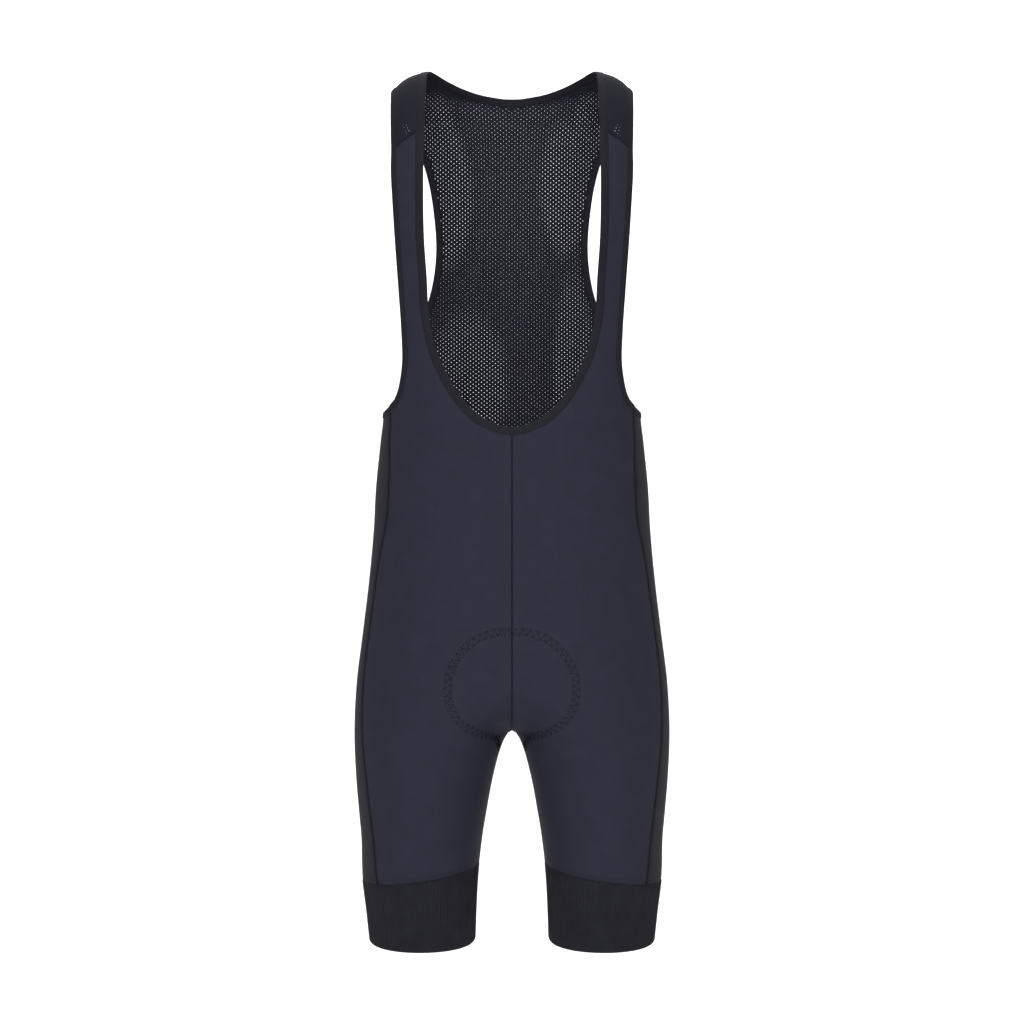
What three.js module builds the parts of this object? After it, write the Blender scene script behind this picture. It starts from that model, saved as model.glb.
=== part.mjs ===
import * as THREE from 'three';

// Cycling bib shorts, filled out as worn, in millimetres.
// +Z is up, the front faces -Y, x = 0 is the centre line, z = 0 is the top of the shoulders.
// The wearer's left is +X. Each piece of cloth is a thin wall with its outer face on the filled form.

// Driving dimensions
const PANEL_WALL = 1.4;
const BINDING_WALL = 2.2;
const BINDING_RAISE = 0.5;
const GRIPPER_WALL = 1.8;
const PAD_WALL = 3;
const PAD_CLEARANCE = 1.8;
const SEAM_GAP = 0.3;
const BINDING_GAP = 0.45;
const NECK_BINDING_WIDTH = 8.5;
const ARMHOLE_BINDING_WIDTH = 6.5;
const HEM_Z = -938;
const CROTCH_Z = -713;
const GRIPPER_INNER_Z = -854;
const GRIPPER_OUTER_Z = -871;
const GRIPPER_RIBS = 112;
const GRIPPER_RIB_HEIGHT = 0.4;
const GRIPPER_ROWS = 3;

// How finely the cloth is divided
const FRONT_COLUMNS = 9;
const SIDE_COLUMNS = 5;
const BACK_COLUMNS = 9;
const RUNG_STEP = 21;
const SECTION_RAYS = 144;
const SECTION_STEP = 2.5;
const FARTHEST = 260;

// Half width, front depth, back depth and squareness of the filled form at each height
const BODY = [
  { z: 0, outer: 118, front: 8, back: 76, square: 2.3 },
  { z: -20, outer: 126, front: 24, back: 86, square: 2.3 },
  { z: -40, outer: 131, front: 40, back: 91.5, square: 2.3 },
  { z: -60, outer: 136, front: 54, back: 96, square: 2.3 },
  { z: -100, outer: 150, front: 78, back: 106, square: 2.4 },
  { z: -150, outer: 158, front: 98, back: 112, square: 2.4 },
  { z: -200, outer: 162, front: 108, back: 113, square: 2.4 },
  { z: -260, outer: 158, front: 110, back: 108, square: 2.4 },
  { z: -320, outer: 148, front: 107, back: 101, square: 2.4 },
  { z: -370, outer: 138.8, front: 103, back: 96, square: 2.4 },
  { z: -400, outer: 141.4, front: 103, back: 91, square: 2.4 },
  { z: -450, outer: 146.4, front: 103, back: 94, square: 2.4 },
  { z: -500, outer: 149.2, front: 103, back: 103, square: 2.4 },
  { z: -555, outer: 154.4, front: 104, back: 115, square: 2.4 },
  { z: -607, outer: 160.7, front: 105.5, back: 123, square: 2.4 },
  { z: -659, outer: 167.2, front: 106, back: 122, square: 2.3 },
  { z: -711, outer: 169.6, front: 99, back: 105, square: 2.2 },
  { z: -762, outer: 167.8, front: 95, back: 95, square: 2.1 },
  { z: -800, outer: 164.6, front: 90, back: 89.5, square: 2.1 },
  { z: -827, outer: 162.2, front: 86, back: 85, square: 2.1 },
  { z: -866, outer: 161.2, front: 77, back: 78.5, square: 2.1 },
  { z: -905, outer: 156.5, front: 69.5, back: 73, square: 2.1 },
  { z: -940, outer: 152.8, front: 66, back: 70, square: 2.1 },
];

// Distance of the inner side of each leg from the centre line
const LEG = [
  { z: -640, inner: -11 },
  { z: -713, inner: 8 },
  { z: -762, inner: 20.7 },
  { z: -801, inner: 28 },
  { z: -827, inner: 32.2 },
  { z: -866, inner: 36.7 },
  { z: -905, inner: 38.9 },
  { z: -940, inner: 40 },
];
const CROTCH_BLEND = 32;
const TORSO_BLEND_TOP_Z = -630;

// Side seams: distance inside the outline, on the front and on the back
const SIDE_SEAM = [
  { z: -360, front: 9.5, back: 9 },
  { z: -400, front: 12.5, back: 13 },
  { z: -440, front: 16.5, back: 20 },
  { z: -480, front: 17, back: 24 },
  { z: -515, front: 12.8, back: 25.5 },
  { z: -545, front: 10.5, back: 26 },
  { z: -600, front: 9.5, back: 25 },
  { z: -640, front: 9.8, back: 24 },
  { z: -700, front: 12, back: 23 },
  { z: -760, front: 15.5, back: 22 },
  { z: -800, front: 17, back: 21 },
  { z: -840, front: 18, back: 20 },
  { z: -875, front: 21, back: 19 },
];

// Rungs across the front strap and chest: the neck seam and the armhole seam, from the chest upwards
const FRONT_RUNGS = [
  { neckX: 13.5, neckZ: -396.7, armX: 126.2, armZ: -369.2 },
  { neckX: 33.9, neckZ: -388, armX: 121, armZ: -364.5 },
  { neckX: 56.6, neckZ: -366.4, armX: 115.4, armZ: -354.5 },
  { neckX: 72.5, neckZ: -341, armX: 111.6, armZ: -340.5 },
  { neckX: 85.7, neckZ: -310.5, armX: 108.8, armZ: -320 },
  { neckX: 93.4, neckZ: -273, armX: 109.6, armZ: -285 },
  { neckX: 95.5, neckZ: -237, armX: 112.3, armZ: -245 },
  { neckX: 98.5, neckZ: -195, armX: 115.4, armZ: -204 },
  { neckX: 100, neckZ: -140, armX: 119.6, armZ: -150 },
  { neckX: 100.2, neckZ: -101, armX: 122, armZ: -115 },
];

// Rungs over the shoulder, from the front strap seam to the back: neck seam, armhole seam and crown
const SHOULDER_RUNGS = [
  { neck: [100.3, -55, -77], arm: [123, -50, -93], crown: [0.4, -2.6, 0.6] },
  { neck: [100.3, -45, -51], arm: [124.4, -40, -69], crown: [0.8, -2.8, 1.6] },
  { neck: [100, -33, -28.5], arm: [125.6, -28, -46], crown: [1.2, -2.6, 2.4] },
  { neck: [99.5, -18, -11], arm: [126.2, -13.5, -27.5], crown: [1.4, -1.6, 2.8] },
  { neck: [98, 2, -2.6], arm: [126.4, 2, -18.6], crown: [1.2, 0, 2.6] },
  { neck: [92, 30, 1], arm: [125.6, 16, -20], crown: [1.6, 2, 3.4] },
  { neck: [80, 54, -1.6], arm: [123, 30, -25.5], crown: [2.4, 4.4, 5] },
  { neck: [60, 73, -8], arm: [118.6, 44, -34], crown: [3, 7.6, 6] },
  { neck: [33, 84.5, -15.4], arm: [113, 57, -44], crown: [3, 10, 5.4] },
  { neck: [0, 86, -20.6], arm: [106, 68, -56], crown: [3, 11, 2.6] },
];

// Rungs across the back, from the centre line to the armhole seam, from the neck downwards
const BACK_RUNGS = [
  { centreZ: -43, armX: 100, armZ: -70 },
  { centreZ: -65, armX: 94.2, armZ: -83.5 },
  { centreZ: -88, armX: 89.6, armZ: -99 },
  { centreZ: -118, armX: 84.6, armZ: -124 },
  { centreZ: -180, armX: 80, armZ: -180 },
  { centreZ: -232, armX: 86, armZ: -229 },
  { centreZ: -290, armX: 104.6, armZ: -285 },
  { centreZ: -326, armX: 113, armZ: -319 },
  { centreZ: -351, armX: 120, armZ: -343.5 },
];

// Rungs round the lower body: heights at the centre front, the two side seams and the centre back.
// The sag is how far the rung drops between the side seams.
const LOWER_RUNGS = [
  { front: -398.5, sideFront: -371.5, sideBack: -365, back: -375, sag: 7.5 },
  { front: -410, sideFront: -386, sideBack: -382, back: -399, sag: 4 },
  { front: -426, sideFront: -406, sideBack: -403, back: -425, sag: 1.5 },
  { front: -447, sideFront: -430, sideBack: -429, back: -447, sag: 0 },
  { front: -470, sideFront: -457, sideBack: -456, back: -470, sag: 0 },
  { front: -495, sideFront: -486, sideBack: -486, back: -495, sag: 0 },
  { front: -520, sideFront: -515, sideBack: -515, back: -520, sag: 0 },
  { front: -545, sideFront: -543, sideBack: -543, back: -545, sag: 0 },
  { front: -570, sideFront: -569, sideBack: -569, back: -570, sag: 0 },
  { front: -595, sideFront: -593, sideBack: -593, back: -595, sag: 0 },
  { front: -618, sideFront: -615, sideBack: -615, back: -618, sag: 0 },
  { front: -640, sideFront: -636, sideBack: -636, back: -640, sag: 0 },
  { front: -660, sideFront: -656, sideBack: -656, back: -660, sag: 0 },
  { front: -677, sideFront: -674, sideBack: -674, back: -677, sag: 0 },
  { front: -690, sideFront: -690, sideBack: -690, back: -690, sag: 0 },
  { front: -700, sideFront: -705, sideBack: -705, back: -700, sag: 0 },
  { front: -707, sideFront: -719, sideBack: -719, back: -707, sag: 0 },
  { front: -711.5, sideFront: -732, sideBack: -732, back: -711.5, sag: 0 },
  { front: CROTCH_Z, sideFront: -745, sideBack: -745, back: CROTCH_Z, sag: 0 },
  { front: -716.5, sideFront: -758, sideBack: -758, back: -716.5, sag: 0 },
  { front: -725, sideFront: -771, sideBack: -771, back: -725, sag: 0 },
  { front: -738, sideFront: -786, sideBack: -786, back: -738, sag: 0 },
  { front: -756, sideFront: -802, sideBack: -802, back: -756, sag: 0 },
  { front: -778, sideFront: -819, sideBack: -819, back: -778, sag: 0 },
  { front: -803, sideFront: -836, sideBack: -836, back: -803, sag: 0 },
  { front: -829, sideFront: -853, sideBack: -853, back: -829, sag: 0 },
];
const MESH_SEAM_RUNG = 2;

// Reach of the seat pad from the centre line, along the cloth, to the front and to the back
const PAD_REACH = [
  { z: -600, front: 16, back: 34 },
  { z: -606, front: 36, back: 56 },
  { z: -616, front: 50, back: 72 },
  { z: -630, front: 62, back: 84 },
  { z: -646, front: 69, back: 90 },
  { z: -662, front: 70, back: 90 },
  { z: -677, front: 68, back: 86 },
  { z: -690, front: 65, back: 80 },
  { z: -700, front: 62, back: 75 },
  { z: -707, front: 60, back: 71 },
  { z: -711.5, front: 58, back: 68 },
  { z: CROTCH_Z, front: 56, back: 66 },
  { z: -716.5, front: 50, back: 58 },
  { z: -723, front: 38, back: 44 },
  { z: -730, front: 18, back: 22 },
];
const PAD_COLUMNS = 6;

// Cloth colours and surface
const CLOTH = {
  front: { color: '#2d2f3c', roughness: 0.62 },
  back: { color: '#2b2d39', roughness: 0.64 },
  side: { color: '#2d2d33', roughness: 0.7 },
  mesh: { color: '#1d1d27', roughness: 0.78 },
  binding: { color: '#26262d', roughness: 0.72 },
  gripper: { color: '#26252c', roughness: 0.8 },
  pad: { color: '#24252c', roughness: 0.85 },
};

// Vector helpers
const add = (a, b) => [a[0] + b[0], a[1] + b[1], a[2] + b[2]];
const subtract = (a, b) => [a[0] - b[0], a[1] - b[1], a[2] - b[2]];
const scale = (a, k) => [a[0] * k, a[1] * k, a[2] * k];
const length = (a) => Math.hypot(a[0], a[1], a[2]);
const unit = (a) => scale(a, 1 / length(a));
const mix = (a, b, t) => a + (b - a) * t;
const mixPoints = (a, b, t) => add(scale(a, 1 - t), scale(b, t));
const ease = (t) => (1 - Math.cos(Math.PI * t)) / 2;
const mirrorPoint = (a) => [-a[0], a[1], a[2]];
const placeKey = (a) => a.map((value) => Math.round(value * 1000)).join(',');

function cross(a, b) {
  return [a[1] * b[2] - a[2] * b[1], a[2] * b[0] - a[0] * b[2], a[0] * b[1] - a[1] * b[0]];
}

// Slope of a table's column at one row, from the rows on each side of it
function tableSlope(table, row, column) {
  const before = table[Math.max(row - 1, 0)];
  const after = table[Math.min(row + 1, table.length - 1)];
  return (after[column] - before[column]) / (after.z - before.z);
}

// Smooth value of a table's column at a height; the rows run downwards, the end rows hold beyond them
function fromTable(table, column, z) {
  if (z >= table[0].z) return table[0][column];
  const last = table[table.length - 1];
  if (z <= last.z) return last[column];
  let row = 0;
  while (table[row + 1].z > z) row += 1;
  const upper = table[row];
  const lower = table[row + 1];
  const span = lower.z - upper.z;
  const t = (z - upper.z) / span;
  const startSlope = tableSlope(table, row, column) * span;
  const endSlope = tableSlope(table, row + 1, column) * span;
  const rise = lower[column] - upper[column];
  const bendA = startSlope - rise;
  const bendB = rise - endSlope;
  return mix(upper[column], lower[column], t) + t * (1 - t) * (bendA * (1 - t) + bendB * t);
}

// Superellipse field: below 0 inside, about the distance in millimetres near its sides
function ovalField(x, y, halfWidth, sizes) {
  const depth = y < 0 ? sizes.front : sizes.back;
  const across = Math.pow(Math.abs(x) / halfWidth, sizes.square);
  const along = Math.pow(Math.abs(y) / depth, sizes.square);
  return (Math.pow(across + along, 1 / sizes.square) - 1) * halfWidth;
}

function sizesAt(z) {
  const sizes = {};
  for (const column of ['outer', 'front', 'back', 'square']) {
    sizes[column] = fromTable(BODY, column, z);
  }
  sizes.inner = fromTable(LEG, 'inner', z);
  sizes.axis = (sizes.outer + Math.max(sizes.inner, 0)) / 2;
  const blend = (z - CROTCH_Z) / (TORSO_BLEND_TOP_Z - CROTCH_Z);
  const held = Math.min(Math.max(blend, 0), 1);
  sizes.torsoShare = held * held * (3 - 2 * held);
  return sizes;
}

// Field of the two legs run together, turning into one torso above the crotch
function bodyField(x, y, sizes) {
  const torso = ovalField(x, y, sizes.outer, sizes);
  if (sizes.torsoShare === 1) return torso;
  const legCentre = (sizes.outer + sizes.inner) / 2;
  const legHalf = (sizes.outer - sizes.inner) / 2;
  const near = ovalField(x - legCentre, y, legHalf, sizes);
  const far = ovalField(x + legCentre, y, legHalf, sizes);
  const closeness = Math.max(CROTCH_BLEND - Math.abs(near - far), 0) / CROTCH_BLEND;
  const legs = Math.min(near, far) - (closeness * closeness * CROTCH_BLEND) / 4;
  return mix(legs, torso, sizes.torsoShare);
}

// Distance from a start point to the surface along a direction, without crossing the centre line
function reachSurface(startX, startY, stepX, stepY, sizes) {
  let inside = 0;
  let outside = stepX < 0 ? Math.min(FARTHEST, startX / -stepX) : FARTHEST;
  for (let round = 0; round < 22; round += 1) {
    const middle = (inside + outside) / 2;
    const value = bodyField(startX + stepX * middle, startY + stepY * middle, sizes);
    if (value < 0) inside = middle;
    else outside = middle;
  }
  return inside;
}

// Left half of the section at a height: points from the front centre (or inner leg) round to the back
function halfSection(z) {
  const sizes = sizesAt(z);
  let startAngle = -Math.PI;
  let endAngle = Math.PI;
  let firstPoint = null;
  let lastPoint = null;
  if (z > CROTCH_Z) {
    const frontReach = reachSurface(0, 0, 0, -1, sizes);
    const backReach = reachSurface(0, 0, 0, 1, sizes);
    firstPoint = [0, -frontReach];
    lastPoint = [0, backReach];
    startAngle = Math.atan2(-frontReach, -sizes.axis);
    endAngle = Math.atan2(backReach, -sizes.axis);
  }
  const points = [];
  for (let ray = 0; ray <= SECTION_RAYS; ray += 1) {
    const angle = mix(startAngle, endAngle, ray / SECTION_RAYS);
    const stepX = Math.cos(angle);
    const stepY = Math.sin(angle);
    const reach = reachSurface(sizes.axis, 0, stepX, stepY, sizes);
    points.push([sizes.axis + stepX * reach, stepY * reach]);
  }
  if (firstPoint) {
    points[0] = firstPoint;
    points[SECTION_RAYS] = lastPoint;
  } else {
    points[0] = [points[0][0], 0];
    if (z === CROTCH_Z) points[0] = [0, 0];
    points[SECTION_RAYS] = points[0];
  }
  const lengths = [0];
  for (let index = 1; index < points.length; index += 1) {
    const stepLength = Math.hypot(
      points[index][0] - points[index - 1][0],
      points[index][1] - points[index - 1][1],
    );
    lengths.push(lengths[index - 1] + stepLength);
  }
  return { points, lengths, total: lengths[lengths.length - 1] };
}

// Point of a section at a share of the way round
function alongSection(section, share) {
  const target = Math.min(Math.max(share, 0), 1) * section.total;
  let low = 0;
  let high = section.lengths.length - 1;
  while (high - low > 1) {
    const middle = (low + high) >> 1;
    if (section.lengths[middle] <= target) low = middle;
    else high = middle;
  }
  const span = section.lengths[high] - section.lengths[low];
  const t = span > 0 ? (target - section.lengths[low]) / span : 0;
  const a = section.points[low];
  const b = section.points[high];
  return [mix(a[0], b[0], t), mix(a[1], b[1], t)];
}

const knownSections = new Map();

function sectionAt(z) {
  const key = z.toFixed(3);
  if (!knownSections.has(key)) knownSections.set(key, halfSection(z));
  return knownSections.get(key);
}

// Point on the filled form at a share of the way round and a height: worked out at the height itself
// near the crotch, and between two close levels elsewhere
function formPoint(share, z) {
  if (Math.abs(z - CROTCH_Z) < 30) {
    const [x, y] = alongSection(sectionAt(z), share);
    return [x, y, z];
  }
  const level = Math.floor(z / SECTION_STEP) * SECTION_STEP;
  const t = (z - level) / SECTION_STEP;
  const low = alongSection(sectionAt(level), share);
  const high = alongSection(sectionAt(level + SECTION_STEP), share);
  return [mix(low[0], high[0], t), mix(low[1], high[1], t), z];
}

// Share of the way round where the section is at a distance from the centre line
function shareAt(z, x, onBack) {
  const section = sectionAt(z);
  let widest = 0;
  section.points.forEach((point, index) => {
    if (point[0] > section.points[widest][0]) widest = index;
  });
  let near = onBack ? 1 : 0;
  let far = section.lengths[widest] / section.total;
  for (let round = 0; round < 30; round += 1) {
    const middle = (near + far) / 2;
    if (alongSection(section, middle)[0] < x) near = middle;
    else far = middle;
  }
  return (near + far) / 2;
}

function frontSeamShare(z) {
  return shareAt(z, fromTable(BODY, 'outer', z) - fromTable(SIDE_SEAM, 'front', z), false);
}

function backSeamShare(z) {
  return shareAt(z, fromTable(BODY, 'outer', z) - fromTable(SIDE_SEAM, 'back', z), true);
}

// One rung of points between two places on the form, each a share and a height
function formRung(from, to, columns) {
  const rung = [];
  for (let column = 0; column <= columns; column += 1) {
    const t = column / columns;
    rung.push(formPoint(mix(from.share, to.share, t), mix(from.z, to.z, ease(t))));
  }
  return rung;
}

// Top edge of the grippers, a level that drops towards the outside of the leg
function gripperSeamZ(x) {
  const innerX = fromTable(LEG, 'inner', GRIPPER_INNER_Z);
  const outerX = fromTable(BODY, 'outer', GRIPPER_OUTER_Z);
  return mix(GRIPPER_INNER_Z, GRIPPER_OUTER_Z, (x - innerX) / (outerX - innerX));
}

// Point on the gripper seam at a share of the way round the leg
function gripperSeamPoint(share) {
  let z = (GRIPPER_INNER_Z + GRIPPER_OUTER_Z) / 2;
  for (let round = 0; round < 4; round += 1) {
    z = gripperSeamZ(formPoint(share, z)[0]);
  }
  return formPoint(share, z);
}

function gripperSeamRung(fromShare, toShare, columns) {
  const rung = [];
  for (let column = 0; column <= columns; column += 1) {
    rung.push(gripperSeamPoint(mix(fromShare, toShare, column / columns)));
  }
  return rung;
}

// Rungs round the lower body, split at the side seams
function buildLowerRungs() {
  const rungs = LOWER_RUNGS.map((row) => {
    const centreFront = { share: 0, z: row.front };
    const seamFront = { share: frontSeamShare(row.sideFront), z: row.sideFront };
    const seamBack = { share: backSeamShare(row.sideBack), z: row.sideBack };
    const centreBack = { share: 1, z: row.back };
    const side = [];
    for (let column = 0; column <= SIDE_COLUMNS; column += 1) {
      const t = column / SIDE_COLUMNS;
      const z = mix(seamFront.z, seamBack.z, ease(t)) - row.sag * 4 * t * (1 - t);
      side.push(formPoint(mix(seamFront.share, seamBack.share, t), z));
    }
    return {
      front: formRung(centreFront, seamFront, FRONT_COLUMNS),
      side,
      back: formRung(seamBack, centreBack, BACK_COLUMNS),
    };
  });
  const seamFrontShare = frontSeamShare(GRIPPER_OUTER_Z);
  const seamBackShare = backSeamShare(GRIPPER_OUTER_Z);
  rungs.push({
    front: gripperSeamRung(0, seamFrontShare, FRONT_COLUMNS),
    side: gripperSeamRung(seamFrontShare, seamBackShare, SIDE_COLUMNS),
    back: gripperSeamRung(seamBackShare, 1, BACK_COLUMNS),
  });
  return rungs;
}

// Key rungs of the ribbon that climbs the chest, crosses the shoulder and comes down the back,
// each from the neck or centre line out to the armhole
function buildRibbonKeys(lowerRungs) {
  const outward = (rung) => [...rung].reverse();
  const keys = [lowerRungs[1].front, lowerRungs[0].front];
  for (const row of FRONT_RUNGS) {
    const neck = { share: shareAt(row.neckZ, row.neckX, false), z: row.neckZ };
    const arm = { share: shareAt(row.armZ, row.armX, false), z: row.armZ };
    keys.push(formRung(neck, arm, FRONT_COLUMNS));
  }
  const strapSeamKey = keys.length;
  for (const row of SHOULDER_RUNGS) {
    const rung = [];
    for (let column = 0; column <= BACK_COLUMNS; column += 1) {
      const t = column / BACK_COLUMNS;
      rung.push(add(mixPoints(row.neck, row.arm, t), scale(row.crown, 4 * t * (1 - t))));
    }
    keys.push(rung);
  }
  const neckBackKey = keys.length - 1;
  for (const row of BACK_RUNGS) {
    const centre = { share: 1, z: row.centreZ };
    const arm = { share: shareAt(row.armZ, row.armX, true), z: row.armZ };
    keys.push(formRung(centre, arm, BACK_COLUMNS));
  }
  keys.push(outward(lowerRungs[0].back), outward(lowerRungs[1].back));
  return { keys, strapSeamKey, neckBackKey };
}

// Point on a smooth curve through four points, between the middle two
function smoothBetween(a, b, c, d, t) {
  const knotB = Math.sqrt(length(subtract(b, a)));
  const knotC = knotB + Math.sqrt(length(subtract(c, b)));
  const knotD = knotC + Math.sqrt(length(subtract(d, c)));
  const knot = mix(knotB, knotC, t);
  const ab = mixPoints(a, b, knot / knotB);
  const bc = mixPoints(b, c, (knot - knotB) / (knotC - knotB));
  const cd = mixPoints(c, d, (knot - knotC) / (knotD - knotC));
  const abc = mixPoints(ab, bc, knot / knotC);
  const bcd = mixPoints(bc, cd, (knot - knotB) / (knotD - knotB));
  return mixPoints(abc, bcd, (knot - knotB) / (knotC - knotB));
}

// The ribbon with rungs added between the keys, so that none are far apart
function buildRibbon(lowerRungs) {
  const { keys, strapSeamKey, neckBackKey } = buildRibbonKeys(lowerRungs);
  const rungs = [];
  const marks = {};
  for (let key = 1; key < keys.length - 2; key += 1) {
    if (key === strapSeamKey) marks.strapSeam = rungs.length;
    if (key === neckBackKey) marks.neckBack = rungs.length;
    const middleColumn = Math.floor(keys[key].length / 2);
    const gap = length(subtract(keys[key + 1][middleColumn], keys[key][middleColumn]));
    const parts = Math.max(1, Math.round(gap / RUNG_STEP));
    for (let part = 0; part < parts; part += 1) {
      rungs.push(keys[key].map((point, column) => smoothBetween(
        keys[key - 1][column],
        point,
        keys[key + 1][column],
        keys[key + 2][column],
        part / parts,
      )));
    }
  }
  rungs.push(keys[keys.length - 2]);
  return { rungs, marks };
}

// The left half of the cloth as grids of points, before any gap is left at a seam
function buildGrids() {
  const lower = buildLowerRungs();
  const ribbon = buildRibbon(lower);
  const chest = ribbon.rungs.slice(0, ribbon.marks.strapSeam + 1).reverse();
  const upperBack = ribbon.rungs.slice(ribbon.marks.strapSeam).map((rung) => [...rung].reverse());
  const lowerBack = lower.map((rungs) => rungs.back);
  return {
    front: [...chest, ...lower.slice(1).map((rungs) => rungs.front)],
    side: lower.map((rungs) => rungs.side),
    mesh: [...upperBack, ...lowerBack.slice(1, MESH_SEAM_RUNG + 1)],
    back: lowerBack.slice(MESH_SEAM_RUNG),
    ribbon,
  };
}

// Triangles of a grid whose rows run along the piece; a mirrored grid is cut on the other diagonal
function gridTriangles(grid, mirrored = false) {
  const triangles = [];
  for (let row = 0; row + 1 < grid.length; row += 1) {
    for (let column = 0; column + 1 < grid[row].length; column += 1) {
      const a = grid[row][column];
      const b = grid[row + 1][column];
      const c = grid[row + 1][column + 1];
      const d = grid[row][column + 1];
      if (mirrored) triangles.push([a, b, d], [b, c, d]);
      else triangles.push([a, b, c], [a, c, d]);
    }
  }
  return triangles;
}

const mirrorTriangle = ([a, b, c]) => [mirrorPoint(a), mirrorPoint(c), mirrorPoint(b)];

// Outward normals of the whole cloth, both halves together, kept by place
function buildNormals(grids) {
  const sums = new Map();
  const collect = ([a, b, c]) => {
    const normal = cross(subtract(b, a), subtract(c, a));
    for (const corner of [a, b, c]) {
      const key = placeKey(corner);
      sums.set(key, add(sums.get(key) ?? [0, 0, 0], normal));
    }
  };
  for (const grid of [grids.front, grids.side, grids.mesh, grids.back]) {
    for (const triangle of gridTriangles(grid)) {
      collect(triangle);
      collect(mirrorTriangle(triangle));
    }
  }
  return sums;
}

// A grid point with the directions and depths that turn it into a wall
function wallPoint(place, normal, outset, inset) {
  return { place, outer: add(place, scale(normal, outset)), inner: add(place, scale(normal, -inset)) };
}

function mirrorWallPoint(point) {
  return {
    place: mirrorPoint(point.place),
    outer: mirrorPoint(point.outer),
    inner: mirrorPoint(point.inner),
  };
}

const mirrorGrid = (grid) => grid.map((row) => row.map(mirrorWallPoint).reverse());

// Closed wall from grids of wall points, and from their mirror images, that meet along shared places
function wallSolid(grids, mirrored = []) {
  const points = [];
  const indexByPlace = new Map();
  const indexOf = (point) => {
    const key = placeKey(point.place);
    if (!indexByPlace.has(key)) {
      indexByPlace.set(key, points.length);
      points.push(point);
    }
    return indexByPlace.get(key);
  };
  const faces = [];
  const cut = [
    ...grids.flatMap((grid) => gridTriangles(grid)),
    ...mirrored.flatMap((grid) => gridTriangles(mirrorGrid(grid), true)),
  ];
  for (const triangle of cut) {
    const face = triangle.map(indexOf);
    if (new Set(face).size === 3) faces.push(face);
  }
  const edges = new Map();
  for (const face of faces) {
    for (let corner = 0; corner < 3; corner += 1) {
      const from = face[corner];
      const to = face[(corner + 1) % 3];
      if (edges.has(`${to} ${from}`)) edges.delete(`${to} ${from}`);
      else edges.set(`${from} ${to}`, [from, to]);
    }
  }
  const count = points.length;
  const triangles = [];
  for (const [a, b, c] of faces) {
    triangles.push([a, b, c], [a + count, c + count, b + count]);
  }
  for (const [from, to] of edges.values()) {
    triangles.push([from, from + count, to + count], [from, to + count, to]);
  }
  const places = [...points.map((point) => point.outer), ...points.map((point) => point.inner)];
  return solidGeometry(places, triangles);
}

function solidGeometry(places, triangles) {
  const geometry = new THREE.BufferGeometry();
  geometry.setAttribute('position', new THREE.Float32BufferAttribute(places.flat(), 3));
  geometry.setIndex(triangles.flat());
  geometry.computeVertexNormals();
  return geometry;
}

// A piece's points moved back from its seams, so that neighbours stand apart. The first and last
// columns are seams from a row downwards, and the top and bottom rows are seams or free edges.
function easeSeams(grid, seams) {
  const half = SEAM_GAP / 2;
  const toward = (from, to) => scale(unit(subtract(to, from)), half);
  const lastRow = grid.length - 1;
  return grid.map((row, rowIndex) => row.map((place, column) => {
    const lastColumn = row.length - 1;
    let moved = place;
    if (column === 0 && rowIndex >= seams.firstFrom) moved = add(moved, toward(place, row[1]));
    if (column === lastColumn && rowIndex >= seams.lastFrom) {
      moved = add(moved, toward(place, row[lastColumn - 1]));
    }
    if (seams.top && rowIndex === 0) moved = add(moved, toward(place, grid[1][column]));
    if (seams.bottom && rowIndex === lastRow) {
      moved = add(moved, toward(place, grid[lastRow - 1][column]));
    }
    return moved;
  }));
}

// Wall grid of a panel whose outer face lies on the form
function panelGrid(grid, normals, seams) {
  const eased = easeSeams(grid, seams);
  return grid.map((row, rowIndex) => row.map((place, column) => {
    const normal = unit(normals.get(placeKey(place)));
    return wallPoint(eased[rowIndex][column], normal, 0, PANEL_WALL);
  }));
}

// Wall grid of a binding, a closed loop that stands beyond a seam path, away from the panels
function bindingGrid(path, normals, width, side) {
  const steps = [
    { share: BINDING_GAP, raise: BINDING_RAISE * 0.4 },
    { share: width / 2, raise: BINDING_RAISE },
    { share: width, raise: BINDING_RAISE * 0.4 },
  ];
  const count = path.length;
  const grid = path.map((place, index) => {
    const along = subtract(path[(index + 1) % count], path[(index - 1 + count) % count]);
    const normal = unit(normals.get(placeKey(place)));
    const away = scale(unit(cross(normal, along)), side);
    const row = steps.map((step) => wallPoint(
      add(place, scale(away, step.share)),
      normal,
      step.raise,
      BINDING_WALL - step.raise,
    ));
    return side > 0 ? row : row.reverse();
  });
  return [...grid, grid[0]];
}

// The neck seam: from the centre front up the left strap and over the shoulder to the centre back,
// and down the right strap
function neckPath(grids) {
  const left = grids.ribbon.rungs.slice(0, grids.ribbon.marks.neckBack + 1).map((rung) => rung[0]);
  const right = left.slice(1, -1).reverse().map(mirrorPoint);
  return [...left, ...right];
}

// The armhole seam: up the front, over the shoulder, down the back and forward under the arm
function armholePath(grids) {
  const ribbonEdge = grids.ribbon.rungs.map((rung) => rung[rung.length - 1]);
  const underarm = [...grids.side[0]].reverse();
  return [...ribbonEdge, ...underarm.slice(1, -1)];
}

// Outward normal of the filled form, from its slopes
function formNormal(share, z) {
  const step = 1;
  const shareStep = 0.003;
  const down = subtract(formPoint(share, z - step), formPoint(share, z + step));
  const wrap = (value) => value - Math.floor(value);
  const around = subtract(formPoint(wrap(share + shareStep), z), formPoint(wrap(share - shareStep), z));
  return unit(cross(down, around));
}

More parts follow.
